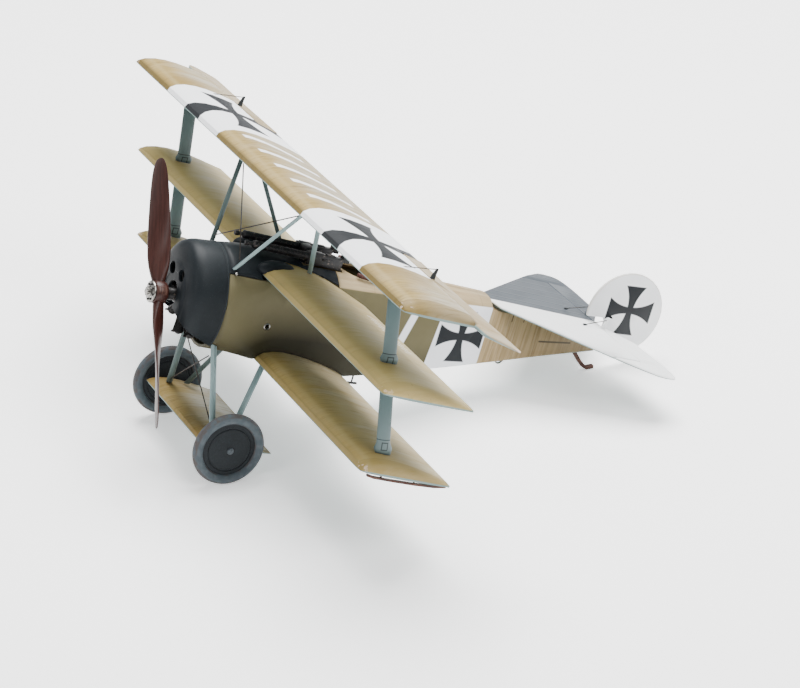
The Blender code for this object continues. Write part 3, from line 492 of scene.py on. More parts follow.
def small_bars(pot, colour, back):
    """A short row of plain slanted strokes near the rear edge, on the port side."""
    cell = (pot.x / 0.085 + 40.5).fraction() - 0.5
    stroke = slanted_bar(cell * 0.085, back - 0.86, 0.055, 0.013, 0.30)
    row = pot.x.within(1.05, 1.95, 0.005)
    return pot.mix(stroke * row * 0.85, colour, WHITE)


print("wing paint ready")

# %% [markdown]
# ## The fuselage's colours
# The fuselage skin changes colour in bands: dark slate over the gun deck, flat olive down its sides, a
# white field with a cross, and brushed ochre towards the tail. The belly is turquoise like the wings'
# undersides. All of these are one paint, with masks worked out from the same lines as the shape itself.


# %% Fuselage paint
FIELD_FRONT = 2.82
FIELD_SLANT = 0.09
FIELD_BACK = 3.43


def line(pot, first, second):
    """Height of a straight line along the fuselage through two (y, z) points."""
    slope = (second[1] - first[1]) / (second[0] - first[0])
    return first[1] + (pot.y - first[0]) * slope


def fuselage_paint():
    pot = Paint("fuselage_paint", 0.48, specular_ior_level=0.12)
    grime = pot.noise(3.0, (1, 1, 1), 5.0, 0.6)
    streak = pot.noise(11.0, (1.0, 1.7, 0.10), 5.0, 0.62)
    fine = pot.noise(42.0, (1.0, 1.3, 0.06), 3.0, 0.6)
    olive = pot.mix(grime.rises(0.35, 0.70) * 0.45, OLIVE, (0.130, 0.113, 0.062))
    # Painted shade: the olive sides darken towards the belly and round the lower wing's root, where the
    # wings' shadow falls.
    shade = pot.z.rises(0.30, -0.42) * pot.y.rises(0.45, 1.05) * pot.y.rises(2.6, 1.4)
    shade = (shade + pot.z.rises(-0.05, -0.48) * 0.7).least(1.0)
    olive = pot.mix(shade * 0.90, olive, (0.012, 0.011, 0.005))
    rear = pot.mix(streak.rises(0.38, 0.64) * 0.65, (0.290, 0.212, 0.110), (0.135, 0.090, 0.040))
    rear = pot.mix(fine.rises(0.48, 0.70) * 0.40, rear, (0.40, 0.32, 0.20))
    rear = pot.mix(pot.y.rises(3.5, 4.8) * 0.55, rear, (0.120, 0.082, 0.036))
    side = pot.mix(pot.y.rises(FIELD_BACK - 0.004, FIELD_BACK + 0.004), olive, rear)
    bar = slanted_bar(pot.y - 2.465, pot.z, 0.17, 0.045, 0.28)
    side = pot.mix(bar * 0.95, side, WHITE)
    slanted = pot.y - pot.z * FIELD_SLANT
    field = slanted.rises(FIELD_FRONT - 0.004, FIELD_FRONT + 0.004)
    field = field * pot.y.rises(FIELD_BACK + 0.004, FIELD_BACK - 0.004)
    white = pot.mix(grime.rises(0.4, 0.7) * 0.16, (0.72, 0.73, 0.76), (0.60, 0.62, 0.66))
    cross = flared_cross(pot, pot.y - 3.135, pot.z + 0.030, 0.275, 0.040, 0.085)
    field_colour = pot.mix(cross, white, CROSS_GREY)
    side = pot.mix(field, side, field_colour)
    shoulder = line(pot, (1.70, 0.366), (3.43, 0.290))
    top = (pot.z - shoulder).rises(0.006, 0.016) * pot.y.rises(1.56, 1.57)
    lane = pot.noise(12.0, (1.4, 0.12, 1.0), 4.0, 0.6)
    decking = pot.mix(lane.rises(0.35, 0.65), (0.37, 0.29, 0.175), (0.28, 0.21, 0.115))
    lacing = (abs(pot.x) - 0.015).rises(0.008, 0.002) * 0.35
    ring = abs(((pot.y / 0.44).fraction() - 0.5) * 0.44).rises(0.006, 0.002) * 0.3
    decking = pot.mix(lacing.most(ring), decking, UMBER)
    side = pot.mix(top * pot.y.rises(3.60, 3.56), side, decking)
    belly = line(pot, (1.95, -0.552), (4.88, -0.114)).most(line(pot, (0.9, -0.468), (1.95, -0.552)))
    under = (pot.z - belly).rises(0.016, 0.006)
    # The turquoise belly starts only aft of the cowling, so the belly's front keeps the olive with its
    # painted shade.
    side = pot.mix(under * pot.y.rises(0.85, 1.0), side, TURQUOISE)
    slate = (pot.z - line(pot, (0.405, 0.405), (1.560, 0.357))).rises(-0.010, -0.004)
    slate = slate * pot.y.rises(1.575, 1.565)
    side = pot.mix(slate, side, SLATE)
    slot = pot.y.within(4.13, 4.55, 0.01) * abs(pot.z + 0.037).rises(0.012, 0.007)
    hatch = abs(abs(pot.y - 3.79) - 0.075).rises(0.007, 0.003)
    hatch = hatch * abs(pot.z - 0.205).rises(0.045, 0.040)
    side = pot.mix(slot.most(hatch), side, DARK_LINE)
    pot.set(base_color=side, roughness=0.42 + grime * 0.16)
    weave = pot.noise(120.0, (1, 1, 1), 2.0)
    return pot.bump(streak * 0.18 + weave * 0.12, 0.5, 0.00010).material


fuselage_finish = fuselage_paint()

# %% [markdown]
# ## Metal, wood, rubber and leather
# The cowling and the gun deck share a satin dark slate with a fine speckle, as an airbrushed coat has. The
# struts are pale turquoise, with painted shade on the starboard struts and on the port outer struts. The
# propeller's grain runs along its blades, so its pattern is stretched along the blade's own direction.


# %% Slate and strut paint
def slate_paint():
    pot = Paint("slate_paint", 0.36, specular_ior_level=0.14)
    speckle = pot.noise(85.0, detail=2.0)
    cloud = pot.noise(3.5, detail=4.0)
    colour = pot.mix(cloud.rises(0.35, 0.7) * 0.6, (0.0075, 0.0100, 0.0122), (0.0120, 0.0152, 0.0178))
    colour = pot.mix(speckle.rises(0.60, 0.72) * 0.22, colour, (0.036, 0.043, 0.048))
    seam = abs(pot.y - 0.372).rises(0.014, 0.008)
    colour = pot.mix(seam * 0.3, colour, (0.05, 0.06, 0.065))
    radius = (pot.x * pot.x / 0.2228 + pot.z * pot.z / 0.3204).root()
    groove = abs(radius - 0.575).rises(0.012, 0.004) * pot.y.rises(0.02, 0.0)
    colour = pot.mix(groove * 0.45, colour, (0.016, 0.020, 0.026))
    pot.set(base_color=colour, roughness=0.42 + speckle * 0.14)
    return pot.bump(speckle, 0.12, 0.00005).material


def strut_paint():
    pot = Paint("strut_paint", 0.42, specular_ior_level=0.25)
    cloud = pot.noise(6.0, (1, 1, 0.4), 4.0)
    lit_turquoise = pot.mix(cloud.rises(0.3, 0.7) * 0.5, (0.23, 0.315, 0.32), (0.18, 0.25, 0.258))
    # Painted shade: the starboard struts are darkened, and the port struts out between the wings too.
    colour = pot.mix((pot.x * -1.0).rises(-0.2, 0.5) * 0.72, lit_turquoise, (0.050, 0.068, 0.062))
    outboard = abs(pot.x).rises(1.5, 1.8)
    colour = pot.mix(outboard * pot.x.rises(0.0, 1.0) * 0.55, colour, (0.048, 0.067, 0.067))
    for low, high, fore in ((0.510, 0.575, 1.012), (-0.300, -0.235, 1.168)):
        down = abs(pot.z - (low + high) / 2) - (high - low) / 2
        side = abs(pot.y - fore) - 0.030
        frame_line = abs(down.most(side)).rises(0.007, 0.003)
        band = abs(pot.z - high - 0.028).rises(0.006, 0.002)
        near = pot.z.within(low - 0.05, high + 0.06, 0.01)
        colour = pot.mix(frame_line.most(band) * outboard * near * 0.85, colour, (0.012, 0.016, 0.014))
    pot.set(base_color=colour, roughness=0.36 + cloud * 0.14)
    return pot.bump(cloud, 0.15, 0.00008).material


# %% Wood and wheel paint
PROPELLER_TURN = math.radians(-33)
WHEEL = (0.810, 0.621, -1.220)


def propeller_wood():
    pot = Paint("propeller_wood", 0.32, specular_ior_level=0.25)
    sine, cosine = math.sin(PROPELLER_TURN), math.cos(PROPELLER_TURN)
    outwards = pot.x * sine + pot.z * cosine
    across = pot.x * cosine - pot.z * sine
    lane = pot.node("ShaderNodeCombineXYZ", {}, {"X": across, "Y": pot.y, "Z": outwards * 0.06})
    grain = pot.texture(lane, 60.0, 4.0, 0.6)
    colour = pot.mix(grain.rises(0.35, 0.65), (0.024, 0.0075, 0.0055), (0.038, 0.012, 0.009))
    laminate = ((pot.y + 0.2) / 0.024).fraction().within(0.0, 0.10, 0.03)
    colour = pot.mix(laminate * 0.35, colour, (0.035, 0.010, 0.008))
    worn = abs(across).rises(0.095, 0.135) * abs(outwards).rises(0.55, 0.2)
    colour = pot.mix(worn * grain.rises(0.4, 0.6) * 0.5, colour, (0.32, 0.20, 0.15))
    pot.set(base_color=colour, roughness=0.28 + grain * 0.18)
    return pot.bump(grain, 0.08, 0.00005).material


def from_axle(pot):
    """Distance from the line of the two wheels' axle."""
    ahead, below = pot.y - WHEEL[1], pot.z - WHEEL[2]
    return (ahead * ahead + below * below).root()


def rubber_paint():
    pot = Paint("rubber_paint", 0.62, specular_ior_level=0.17)
    radius = from_axle(pot)
    scuff = pot.noise(16.0, detail=4.0)
    colour = pot.mix(scuff.rises(0.35, 0.7), (0.062, 0.077, 0.088), (0.085, 0.101, 0.112))
    edge = radius.rises(0.335, 0.350) + radius.rises(0.282, 0.272)
    colour = pot.mix(edge * scuff.rises(0.34, 0.58) * 0.75, colour, (0.062, 0.047, 0.042))
    pot.set(base_color=colour, roughness=0.52 + scuff * 0.20)
    return pot.bump(scuff, 0.2, 0.0001).material


def disc_paint():
    pot = Paint("disc_paint", 0.48, specular_ior_level=0.20)
    radius = from_axle(pot)
    speckle = pot.noise(70.0, detail=3.0)
    colour = pot.mix(speckle.rises(0.4, 0.7), (0.008, 0.0105, 0.013), (0.0125, 0.016, 0.019))
    ring = abs(radius - 0.222).rises(0.010, 0.003)
    colour = pot.mix(ring * 0.8, colour, (0.010, 0.012, 0.015))
    pot.set(base_color=colour, roughness=0.44 + speckle * 0.14)
    return pot.bump(speckle, 0.15, 0.00006).material


# %% Worn metal, leather and ash
def worn_black(name, base, worn, amount, roughness, metallic):
    """Near-black paint rubbed through to something lighter in patches."""
    pot = Paint(name, roughness, metallic)
    rub = pot.noise(30.0, detail=5.0, rough=0.7)
    colour = pot.mix(rub.rises(0.60 - amount, 0.72), base, worn)
    pot.set(base_color=colour, roughness=roughness + rub * 0.2)
    return pot.bump(rub, 0.25, 0.00008).material


def bright_metal():
    pot = Paint("bright_metal", 0.22, 1.0)
    rub = pot.noise(40.0, detail=3.0)
    colour = pot.mix(rub.rises(0.35, 0.7), (0.30, 0.29, 0.27), (0.14, 0.135, 0.125))
    pot.set(base_color=colour, roughness=0.18 + rub * 0.2)
    return pot.bump(rub, 0.1, 0.00005).material


def padded_leather():
    pot = Paint("padded_leather", 0.52, specular_ior_level=0.20)
    crease = pot.noise(55.0, detail=5.0, rough=0.65)
    colour = pot.mix(crease.rises(0.35, 0.7), (0.045, 0.015, 0.013), (0.105, 0.040, 0.030))
    pot.set(base_color=colour, roughness=0.40 + crease * 0.25)
    return pot.bump(crease, 0.5, 0.00012).material


def skid_wood():
    pot = Paint("skid_wood", 0.45, specular_ior_level=0.20)
    grain = pot.noise(50.0, (1.0, 0.12, 0.6), 4.0, 0.6)
    colour = pot.mix(grain.rises(0.35, 0.65), (0.042, 0.016, 0.012), (0.105, 0.045, 0.030))
    pot.set(base_color=colour, roughness=0.38 + grain * 0.2)
    return pot.bump(grain, 0.3, 0.0001).material


# %% The finishes
slate_finish = slate_paint()
strut_finish = strut_paint()
wood_finish = propeller_wood()
tyre_finish = rubber_paint()
disc_finish = disc_paint()
engine_finish = worn_black("engine_black", (0.012, 0.011, 0.011), (0.16, 0.125, 0.095), 0.02, 0.34, 0.55)
gun_finish = worn_black("gun_black", (0.010, 0.010, 0.011), (0.13, 0.105, 0.09), 0.06, 0.32, 0.5)
horn_finish = worn_black("horn_slate", (0.020, 0.024, 0.026), (0.07, 0.075, 0.08), 0.0, 0.42, 0.1)
wire_finish = worn_black("wire_brown", (0.030, 0.024, 0.020), (0.10, 0.085, 0.07), 0.0, 0.45, 0.4)
bright_finish = bright_metal()
leather_finish = padded_leather()
skid_finish = skid_wood()
cap_finish = worn_black("cap_slate", (0.050, 0.062, 0.072), (0.16, 0.18, 0.19), 0.02, 0.28, 0.3)
print("finishes:", len(bpy.data.materials))

# %% [markdown]
# ## Tail colours
# The starboard half of the tail is slate grey with the ribs showing through, and the port half is white.
# The rudder is white with a flared cross on each side.


# %% Tail paint
def tail_paint():
    pot = Paint("tail_paint", 0.50, specular_ior_level=0.17)
    cloud = pot.noise(5.0, detail=4.0)
    spacing = 0.178
    rib = abs(((pot.x / spacing + 20.25).fraction() - 0.5) * spacing)
    grey = pot.mix(cloud.rises(0.3, 0.7), (0.056, 0.065, 0.075), (0.076, 0.087, 0.098))
    grey = pot.mix(rib.rises(0.016, 0.004) * 0.75, grey, (0.034, 0.041, 0.050))
    beside = (rib - 0.022).rises(0.012, 0.0) * (rib - 0.022).rises(-0.012, 0.0)
    grey = pot.mix(beside * 0.35, grey, (0.15, 0.17, 0.185))
    white = pot.mix(cloud.rises(0.35, 0.75) * 0.35, (0.76, 0.77, 0.77), (0.66, 0.68, 0.68))
    colour = pot.mix(pot.x.rises(-0.006, 0.006), grey, white)
    under = (pot.z - (0.300 - (pot.y - 3.58) * 0.093)).rises(0.0, -0.004)
    colour = pot.mix(under, colour, TURQUOISE)
    pot.set(base_color=colour, roughness=0.44 + cloud * 0.14)
    return pot.bump(rib.rises(0.022, 0.0) + cloud * 0.2, 0.6, 0.00014).material


def rudder_paint():
    pot = Paint("rudder_paint", 0.50, specular_ior_level=0.17)
    cloud = pot.noise(5.0, detail=4.0)
    white = pot.mix(cloud.rises(0.35, 0.75) * 0.35, (0.74, 0.75, 0.76), (0.62, 0.64, 0.66))
    rim_y, rim_z = pot.y - 5.125, pot.z - 0.330
    radius = (rim_y * rim_y + rim_z * rim_z).root()
    white = pot.mix(radius.rises(0.430, 0.444) * 0.5, white, (0.50, 0.46, 0.40))
    cross = flared_cross(pot, pot.y - 5.170, pot.z - 0.372, 0.272, 0.038, 0.088)
    halo = flared_cross(pot, pot.y - 5.170, pot.z - 0.372, 0.286, 0.050, 0.092)
    colour = pot.mix(halo * 0.6, white, (0.86, 0.87, 0.88))
    pot.set(base_color=pot.mix(cross, colour, CROSS_GREY), roughness=0.44 + cloud * 0.14)
    return pot.bump(cloud, 0.2, 0.0001).material


tail_finish = tail_paint()
rudder_finish = rudder_paint()

# %% [markdown]
# ## Wings and control surfaces
# The wings' solids already have a smooth aerofoil section, but each is stored as loose triangles. A welded
# copy of each, shaded by angle, gives one continuous skin at exactly the right place. Modelling them anew
# would only risk a mismatch at the aileron gaps.

# %% Wing and aileron skins
wing_finishes = {}
for node, wing in (("upper_wing", UPPER), ("middle_wing", MIDDLE), ("lower_wing", LOWER)):
    wing_finishes[node] = wing_paint(node, wing)
    dress(moulding(node), "airframe", "tan_wing", wing_finishes[node], node, angle=32)


HORN_X = 2.31


def aileron_paint():
    """The aileron is a paler tan than the wing ahead of it, with a chip at its tip."""
    pot = Paint("aileron_paint", 0.48, specular_ior_level=0.20)
    front, level, half = UPPER
    back = (pot.y - front) / CHORD
    colour, fine = brushed_tan(pot, back, 9.0)
    colour = pot.mix(0.45, colour, (0.31, 0.24, 0.15))
    colour = pot.mix(abs(pot.x).rises(3.56, 3.63) * pot.y.rises(1.55, 1.62) * 0.9, colour, PINK_CHIP)
    horn = abs(abs(pot.x) - HORN_X).rises(0.014, 0.010) * pot.y.rises(1.45, 1.44)
    colour = pot.mix((pot.z - 1.262).rises(0.0, 0.02) * horn, colour, (0.020, 0.024, 0.026))
    under_line = 1.249 - (pot.y - 1.346) * 0.170 - (abs(pot.x) - 1.72) * (pot.y - 1.346) * 0.080
    under = (pot.z - under_line).rises(-0.002, -0.006)
    pot.set(base_color=pot.mix(under, colour, TURQUOISE), roughness=0.42 + fine * 0.16)
    return pot.bump(fine * 0.3, 0.5, 0.0001).material


aileron_finish = aileron_paint()
for word in ("port", "starboard"):
    node = "aileron_" + word
    dress(moulding(node), node, "tan_wing", aileron_finish, node, angle=32)
print("wing skins ready")

# %% [markdown]
# ## Fuselage
# The two halves are joined into one skin: their edges are drawn onto the centre line, welded, and the
# inner faces that now lie back to back are deleted.

# %% Fuselage skin
skin = fused([moulding("fuselage_port_half"), moulding("fuselage_starboard_half")], "fuselage_skin")
shape = edit(skin)
pick_points(skin, shape, lambda at: abs(at.x) < 0.0002)
bpy.ops.transform.resize(value=(0, 1, 1), center_override=(0, 0, 0))
bpy.ops.mesh.remove_doubles(threshold=0.000002)
bpy.ops.mesh.select_mode(type="FACE")
shape = bmesh.from_edit_mesh(skin.data)
pick_faces(skin, shape, lambda at, way: abs(at.x) < 0.00001 and abs(way.x) > 0.9)
bpy.ops.mesh.delete(type="FACE")
done(skin)
halves = ("fuselage_port_half", "fuselage_starboard_half")
dress(skin, "airframe", "olive_drab", fuselage_finish, *halves, angle=32)
dress(moulding("forward_decking"), "airframe", "slate_metal", slate_finish, "forward_decking", angle=40)
print("fuselage skin:", len(skin.data.polygons), "faces")

# %% Tail skins
dress(moulding("tailplane"), "airframe", "slate_metal", tail_finish, "tailplane", angle=32)
dress(moulding("elevator"), "elevator", "white_dope", tail_finish, "elevator", angle=32)
dress(moulding("rudder"), "rudder", "white_dope", rudder_finish, "rudder", angle=32)

# %% Strut skins
struts = [name for name in frame["nodes"] if "strut" in name or name.startswith("cabane_front")]
struts += [name for name in frame["nodes"] if name.startswith("cabane_rear")]
for node in sorted(struts):
    dress(moulding(node), "airframe", "pale_turquoise", strut_finish, node, angle=50)
print("struts:", len(struts))

# %% [markdown]
# ## Turned pieces
# Cowling, wheels, hub and cylinders are round. Each is drawn out ring by ring, as one would by hand: a
# circle is added, then its edge is extruded, scaled and moved again and again along a profile. A screw or
# spin would do as well, but here every ring keeps its own radius in plain sight.


# %% The ring tool
def turned(name, rings, sides=64, axis="Y", middle=(0, 0, 0), closed_loop=False):
    """Draws out a profile of (radius, distance along the axis), starting from a circle."""
    bpy.ops.object.select_all(action="DESELECT")
    radius, at = rings[0]
    bpy.ops.mesh.primitive_circle_add(vertices=sides, radius=radius, location=(0, 0, 0))
    piece = added(name)
    bpy.ops.object.mode_set(mode="EDIT")
    bpy.ops.mesh.select_mode(type="EDGE")
    bpy.ops.mesh.select_all(action="SELECT")
    bpy.ops.transform.translate(value=(0, 0, at))
    if not closed_loop:
        bpy.ops.mesh.edge_face_add()
    for (before, near), (after, far) in zip(rings, rings[1:]):
        bpy.ops.mesh.extrude_region_move()
        bpy.ops.transform.translate(value=(0, 0, far - near))
        bpy.ops.transform.resize(value=(after / before, after / before, 1), center_override=(0, 0, far))
    bpy.ops.mesh.select_all(action="SELECT")
    bpy.ops.mesh.remove_doubles(threshold=0.00001)
    bpy.ops.mesh.normals_make_consistent(inside=False)
    done(piece)
    turns = {"X": (0, math.pi / 2, 0), "Y": (-math.pi / 2, 0, 0), "Z": (0, 0, 0)}
    piece.rotation_euler = turns[axis]
    piece.location = middle
    bpy.ops.object.transform_apply(location=True, rotation=True, scale=True)
    return piece


# %% Cowling
def oval_profile():
    """The outer profile of the cowling as shares of its full size, with two shallow steps on its face."""
    face = [(0.240, 0.004), (0.250, 0.0), (0.400, 0.0), (0.412, -0.004), (0.560, -0.004), (0.580, 0.0)]
    face += [(0.655, 0.001), (0.700, 0.003)]
    shoulder = [(0.76, 0.007), (0.81, 0.013), (0.855, 0.021), (0.89, 0.031), (0.92, 0.043), (0.945, 0.058)]
    shoulder += [(0.965, 0.078), (0.982, 0.102), (0.994, 0.132), (1.0, 0.165)]
    rear = [(1.0, 0.250), (1.0, 0.352), (0.994, 0.356), (0.994, 0.362), (1.0, 0.366), (1.0, 0.371)]
    inner = [(0.960, 0.371), (0.955, 0.180), (0.935, 0.110), (0.87, 0.060), (0.70, 0.034), (0.240, 0.032)]
    return face + shoulder + rear + inner + face[:1]


cowl = turned("cowling_shell", oval_profile(), 128, closed_loop=True)
cowl.scale = (0.472, 1, 0.566)
bpy.ops.object.transform_apply(scale=True)
print("cowling:", len(cowl.data.polygons), "faces before its cuts")

# %% [markdown]
# The opening under the cowling is cut as a metalworker would mark it out: a wedge whose roof slopes down
# aft. It starts as a cube whose top edge is split and lifted into a ridge, and a Boolean takes it away.

# %% Cowling cuts
bpy.ops.object.select_all(action="DESELECT")
bpy.ops.mesh.primitive_cube_add(size=1, location=(0, 0.25, -0.80))
wedge = added("cowl_mouth")
wedge.scale = (1.60, 0.70, 0.80)
bpy.ops.object.transform_apply(location=True, scale=True)
shape = edit(wedge, "EDGE")
for edge in shape.edges:
    across = abs(edge.verts[0].co.x - edge.verts[1].co.x)
    edge.select_set(across > 0.5)
bmesh.update_edit_mesh(wedge.data)
bpy.ops.mesh.subdivide(number_cuts=1)
done(wedge)
for corner in wedge.data.vertices:
    if corner.co.z > -0.5:
        corner.co.z = -0.085 - 0.53 * corner.co.y - 0.22 * abs(corner.co.x)
apply_modifier(cowl, "BOOLEAN", object=wedge, operation="DIFFERENCE", solver="EXACT")
bpy.data.objects.remove(wedge)
for side in (1, -1):
    bpy.ops.object.select_all(action="DESELECT")
    place = (side * 0.112, 0, 0.232)
    bpy.ops.mesh.primitive_cylinder_add(vertices=48, radius=0.062, depth=0.2, location=place)
    drill = added("hole_drill")
    drill.rotation_euler = (math.pi / 2, 0, 0)
    apply_modifier(cowl, "BOOLEAN", object=drill, operation="DIFFERENCE", solver="EXACT")
    bpy.data.objects.remove(drill)
settle(cowl, "airframe", "slate_metal", slate_finish, "cowling", angle=28)
print("cowling:", len(cowl.data.polygons), "faces")

# %% [markdown]
# ## Wheels
# A tyre is a torus with a moulded line round each side. The wheel's cover is a
# shallow cone with a stepped rim and a small cap over the axle's end. Tyre and cover are one body, so
# each pair is modelled once and copied to the other side.

# %% Tyres
TYRE_RADIUS = 0.369
SECTION = 0.0515


def tyre_profile(steps=26):
    """A round section with a raised line on each wall, as (radius, distance across)."""
    rings = []
    for i in range(steps + 1):
        angle = math.tau * i / steps
        reach = SECTION * (1.0 if i % 13 not in (4, 9) else 0.985)
        rings.append((TYRE_RADIUS - SECTION + reach * math.cos(angle), reach * math.sin(angle)))
    return rings


tyre = turned("tyre", tyre_profile(), 112, "X", closed_loop=True)
cover_rings = [(0.023, 0.052), (0.060, 0.048), (0.140, 0.040), (0.212, 0.027), (0.218, 0.019)]
cover_rings += [(0.226, 0.018), (0.230, 0.024), (0.246, 0.023), (0.256, 0.019), (0.268, 0.019)]
cover_rings += [(radius, -across) for radius, across in reversed(cover_rings)]
cover = turned("wheel_cover", cover_rings + cover_rings[:1], 96, "X", closed_loop=True)
for side, word in ((1, "port"), (-1, "starboard")):
    place = Matrix.Translation((side * WHEEL[0], WHEEL[1], WHEEL[2]))
    body = "wheel_" + word
    outer = copied(tyre, body + "_tyre", place)
    settle(outer, body, "tyre_grey", tyre_finish, "tyre_" + word, angle=60)
    plate = copied(cover, body + "_cover", place)
    settle(plate, body, "disc_slate", disc_finish, "wheel_disc_" + word, angle=30)
for spare in (tyre, cover):
    bpy.data.objects.remove(spare)
print("wheels ready")

# %% Axle caps
end = WHEEL[0] + 0.065
cap_rings = [(0.018, end - 0.05), (0.034, end - 0.024), (0.034, end - 0.006), (0.030, end)]
cap_rings += [(0.018, end + 0.004), (0.014, end + 0.011)]
axle = [(0.014, -end - 0.011)] + [(radius, -along) for radius, along in reversed(cap_rings[:-1])] + cap_rings
axle_piece = turned("axle_bar", axle, 40, "X", (0, WHEEL[1], WHEEL[2]))
settle(axle_piece, "airframe", "polished_steel", cap_finish, "axle", angle=35)

# %% [markdown]
# ## Propeller
# A blade starts as a small round root. Its edge is extruded outwards station by station and scaled wide
# and thin, and then every ring is turned by its own pitch, steep at the root and flat at the tip, as a
# screw's thread would be. The second blade is the first turned half round.

# %% Propeller blades
BLADE = (
    (0.040, 0.092, 0.096),
    (0.085, 0.118, 0.104),
    (0.140, 0.152, 0.100),
    (0.220, 0.200, 0.085),
    (0.350, 0.240, 0.062),
    (0.550, 0.266, 0.046),
    (0.800, 0.270, 0.036),
    (1.020, 0.255, 0.029),
    (1.180, 0.222, 0.024),
    (1.265, 0.172, 0.020),
    (1.307, 0.112, 0.015),
    (1.326, 0.050, 0.010),
)


def wooden_blade():
    radius, chord, thickness = BLADE[0]
    bpy.ops.object.select_all(action="DESELECT")
    bpy.ops.mesh.primitive_circle_add(vertices=28, radius=0.5, location=(0, 0, 0))
    piece = added("blade")
    bpy.ops.object.mode_set(mode="EDIT")
    bpy.ops.mesh.select_mode(type="EDGE")
    bpy.ops.mesh.select_all(action="SELECT")
    bpy.ops.mesh.edge_face_add()
    bpy.ops.transform.resize(value=(chord, thickness, 1))
    bpy.ops.transform.translate(value=(0, 0, radius))
    for (near, wide, thick), (far, wider, thicker) in zip(BLADE, BLADE[1:]):
        bpy.ops.mesh.extrude_region_move()
        bpy.ops.transform.translate(value=(0, 0, far - near))
        bpy.ops.transform.resize(value=(wider / wide, thicker / thick, 1), center_override=(0, 0, far))
    bpy.ops.mesh.select_all(action="SELECT")
    bpy.ops.mesh.normals_make_consistent(inside=False)
    done(piece)
    apply_modifier(piece, "SUBSURF", levels=1, render_levels=1)
    for point in piece.data.vertices:
        pitch = min(math.atan2(2.3, math.tau * max(point.co.z, 0.01)), math.radians(48))
        point.co = Matrix.Rotation(pitch, 3, "Z") @ point.co
    return piece


middle = Matrix.Translation((0, PROPELLER_Y, 0))
first = wooden_blade()
first.matrix_world = middle @ Matrix.Rotation(PROPELLER_TURN, 4, "Y")
second = copied(first, "second_blade", middle @ Matrix.Rotation(math.pi, 4, "Y") @ middle.inverted())
boss_rings = [(0.030, -0.066), (0.094, -0.066), (0.104, -0.060), (0.111, -0.040), (0.113, 0.0)]
boss_rings += [(0.111, 0.040), (0.104, 0.060), (0.094, 0.066), (0.030, 0.066), (0.030, -0.066)]
boss = turned("boss", boss_rings, 64, "Y", (0, PROPELLER_Y, 0), closed_loop=True)
for blade in (first, second):
    only(blade)
    bpy.ops.object.transform_apply(location=True, rotation=True, scale=True)
propeller = fused([boss, first, second], "propeller_wooden")
settle(propeller, "engine", "mahogany", wood_finish, "propeller", angle=45)
print("propeller:", len(propeller.data.polygons), "faces")

# %% Propeller hub
face = PROPELLER_Y - 0.0752
hub_rings = [(0.012, -0.059), (0.030, -0.059), (0.035, -0.053), (0.035, -0.036), (0.050, -0.032)]
hub_rings += [(0.053, -0.028), (0.053, -0.019), (0.060, -0.015), (0.098, -0.014), (0.105, -0.011)]
hub_rings += [(0.107, -0.006), (0.107, 0.0)]
hub = turned("hub_plate", hub_rings, 64, "Y", (0, face, 0))
settle(hub, "engine", "polished_steel", bright_finish, "propeller_hub", angle=30)
bolts = []
for number in range(8):
    angle = math.tau * number / 8
    at = (0.078 * math.cos(angle), face, 0.078 * math.sin(angle))
    bolts.append(turned("bolt", [(0.0125, -0.012), (0.0125, -0.024), (0.009, -0.0265)], 6, "Y", at))
settle(fused(bolts, "hub_bolts"), "engine", "engine_black", engine_finish, angle=20)

# %% [markdown]
# ## Engine
# Nine cylinders stand round a crankcase that turns with them. A cylinder is a stack of thin fins with a
# rocker head and a pushrod ahead of it. One is modelled upright, and eight copies are turned round the
# shaft.

# %% Cylinders
FINS = 15


def finned_rings():
    rings = [(0.038, 0.132), (0.038, 0.165)]
    for i in range(FINS):
        low = 0.170 + 0.0145 * i
        reach = 0.043 + 0.0008 * i
        rings += [(0.0385, low), (reach, low + 0.003), (reach, low + 0.007), (0.0385, low + 0.010)]
    return rings + [(0.050, 0.390), (0.050, 0.398), (0.036, 0.404), (0.026, 0.418)]


barrel = turned("cylinder", finned_rings(), 28, "Z", (0, 0.200, 0))
rod_rings = [(0.006, 0.115), (0.006, 0.385), (0.010, 0.388), (0.010, 0.404)]
rod = turned("pushrod", rod_rings, 10, "Z", (0, 0.143, 0))
bpy.ops.object.select_all(action="DESELECT")
bpy.ops.mesh.primitive_cube_add(size=1, location=(0, 0.170, 0.402))
rocker = added("rocker")
rocker.scale = (0.018, 0.085, 0.016)
bpy.ops.object.transform_apply(location=True, scale=True)
apply_modifier(rocker, "BEVEL", width=0.004, segments=2)
upright = fused([barrel, rod, rocker], "upright_cylinder")
for number in range(9):
    angle = PROPELLER_TURN + math.tau * (number + 0.5) / 9
    other = copied(upright, "finned_cylinder_%d" % (number + 1), Matrix.Rotation(angle, 4, "Y"))
    settle(other, "engine", "engine_black", engine_finish, "cylinder_%d" % (number + 1), angle=30)
bpy.data.objects.remove(upright)
dress(moulding("engine_crankcase"), "engine", "engine_black", engine_finish, "engine_crankcase", angle=30)
print("engine ready")

# %% [markdown]
# ## Guns
# Each gun is a muzzle, a slotted cooling jacket, and a box-shaped breech. The jacket's slots are cut as
# rows of small insets that are pushed in, so light catches their edges.

# %% Gun jackets
GUN_X = 0.130
GUN_FRONT = Vector((GUN_X, 0.600, 0.650))
GUN_BACK = Vector((GUN_X, 1.700, 0.548))
slope = math.atan2(GUN_BACK.z - GUN_FRONT.z, GUN_BACK.y - GUN_FRONT.y)


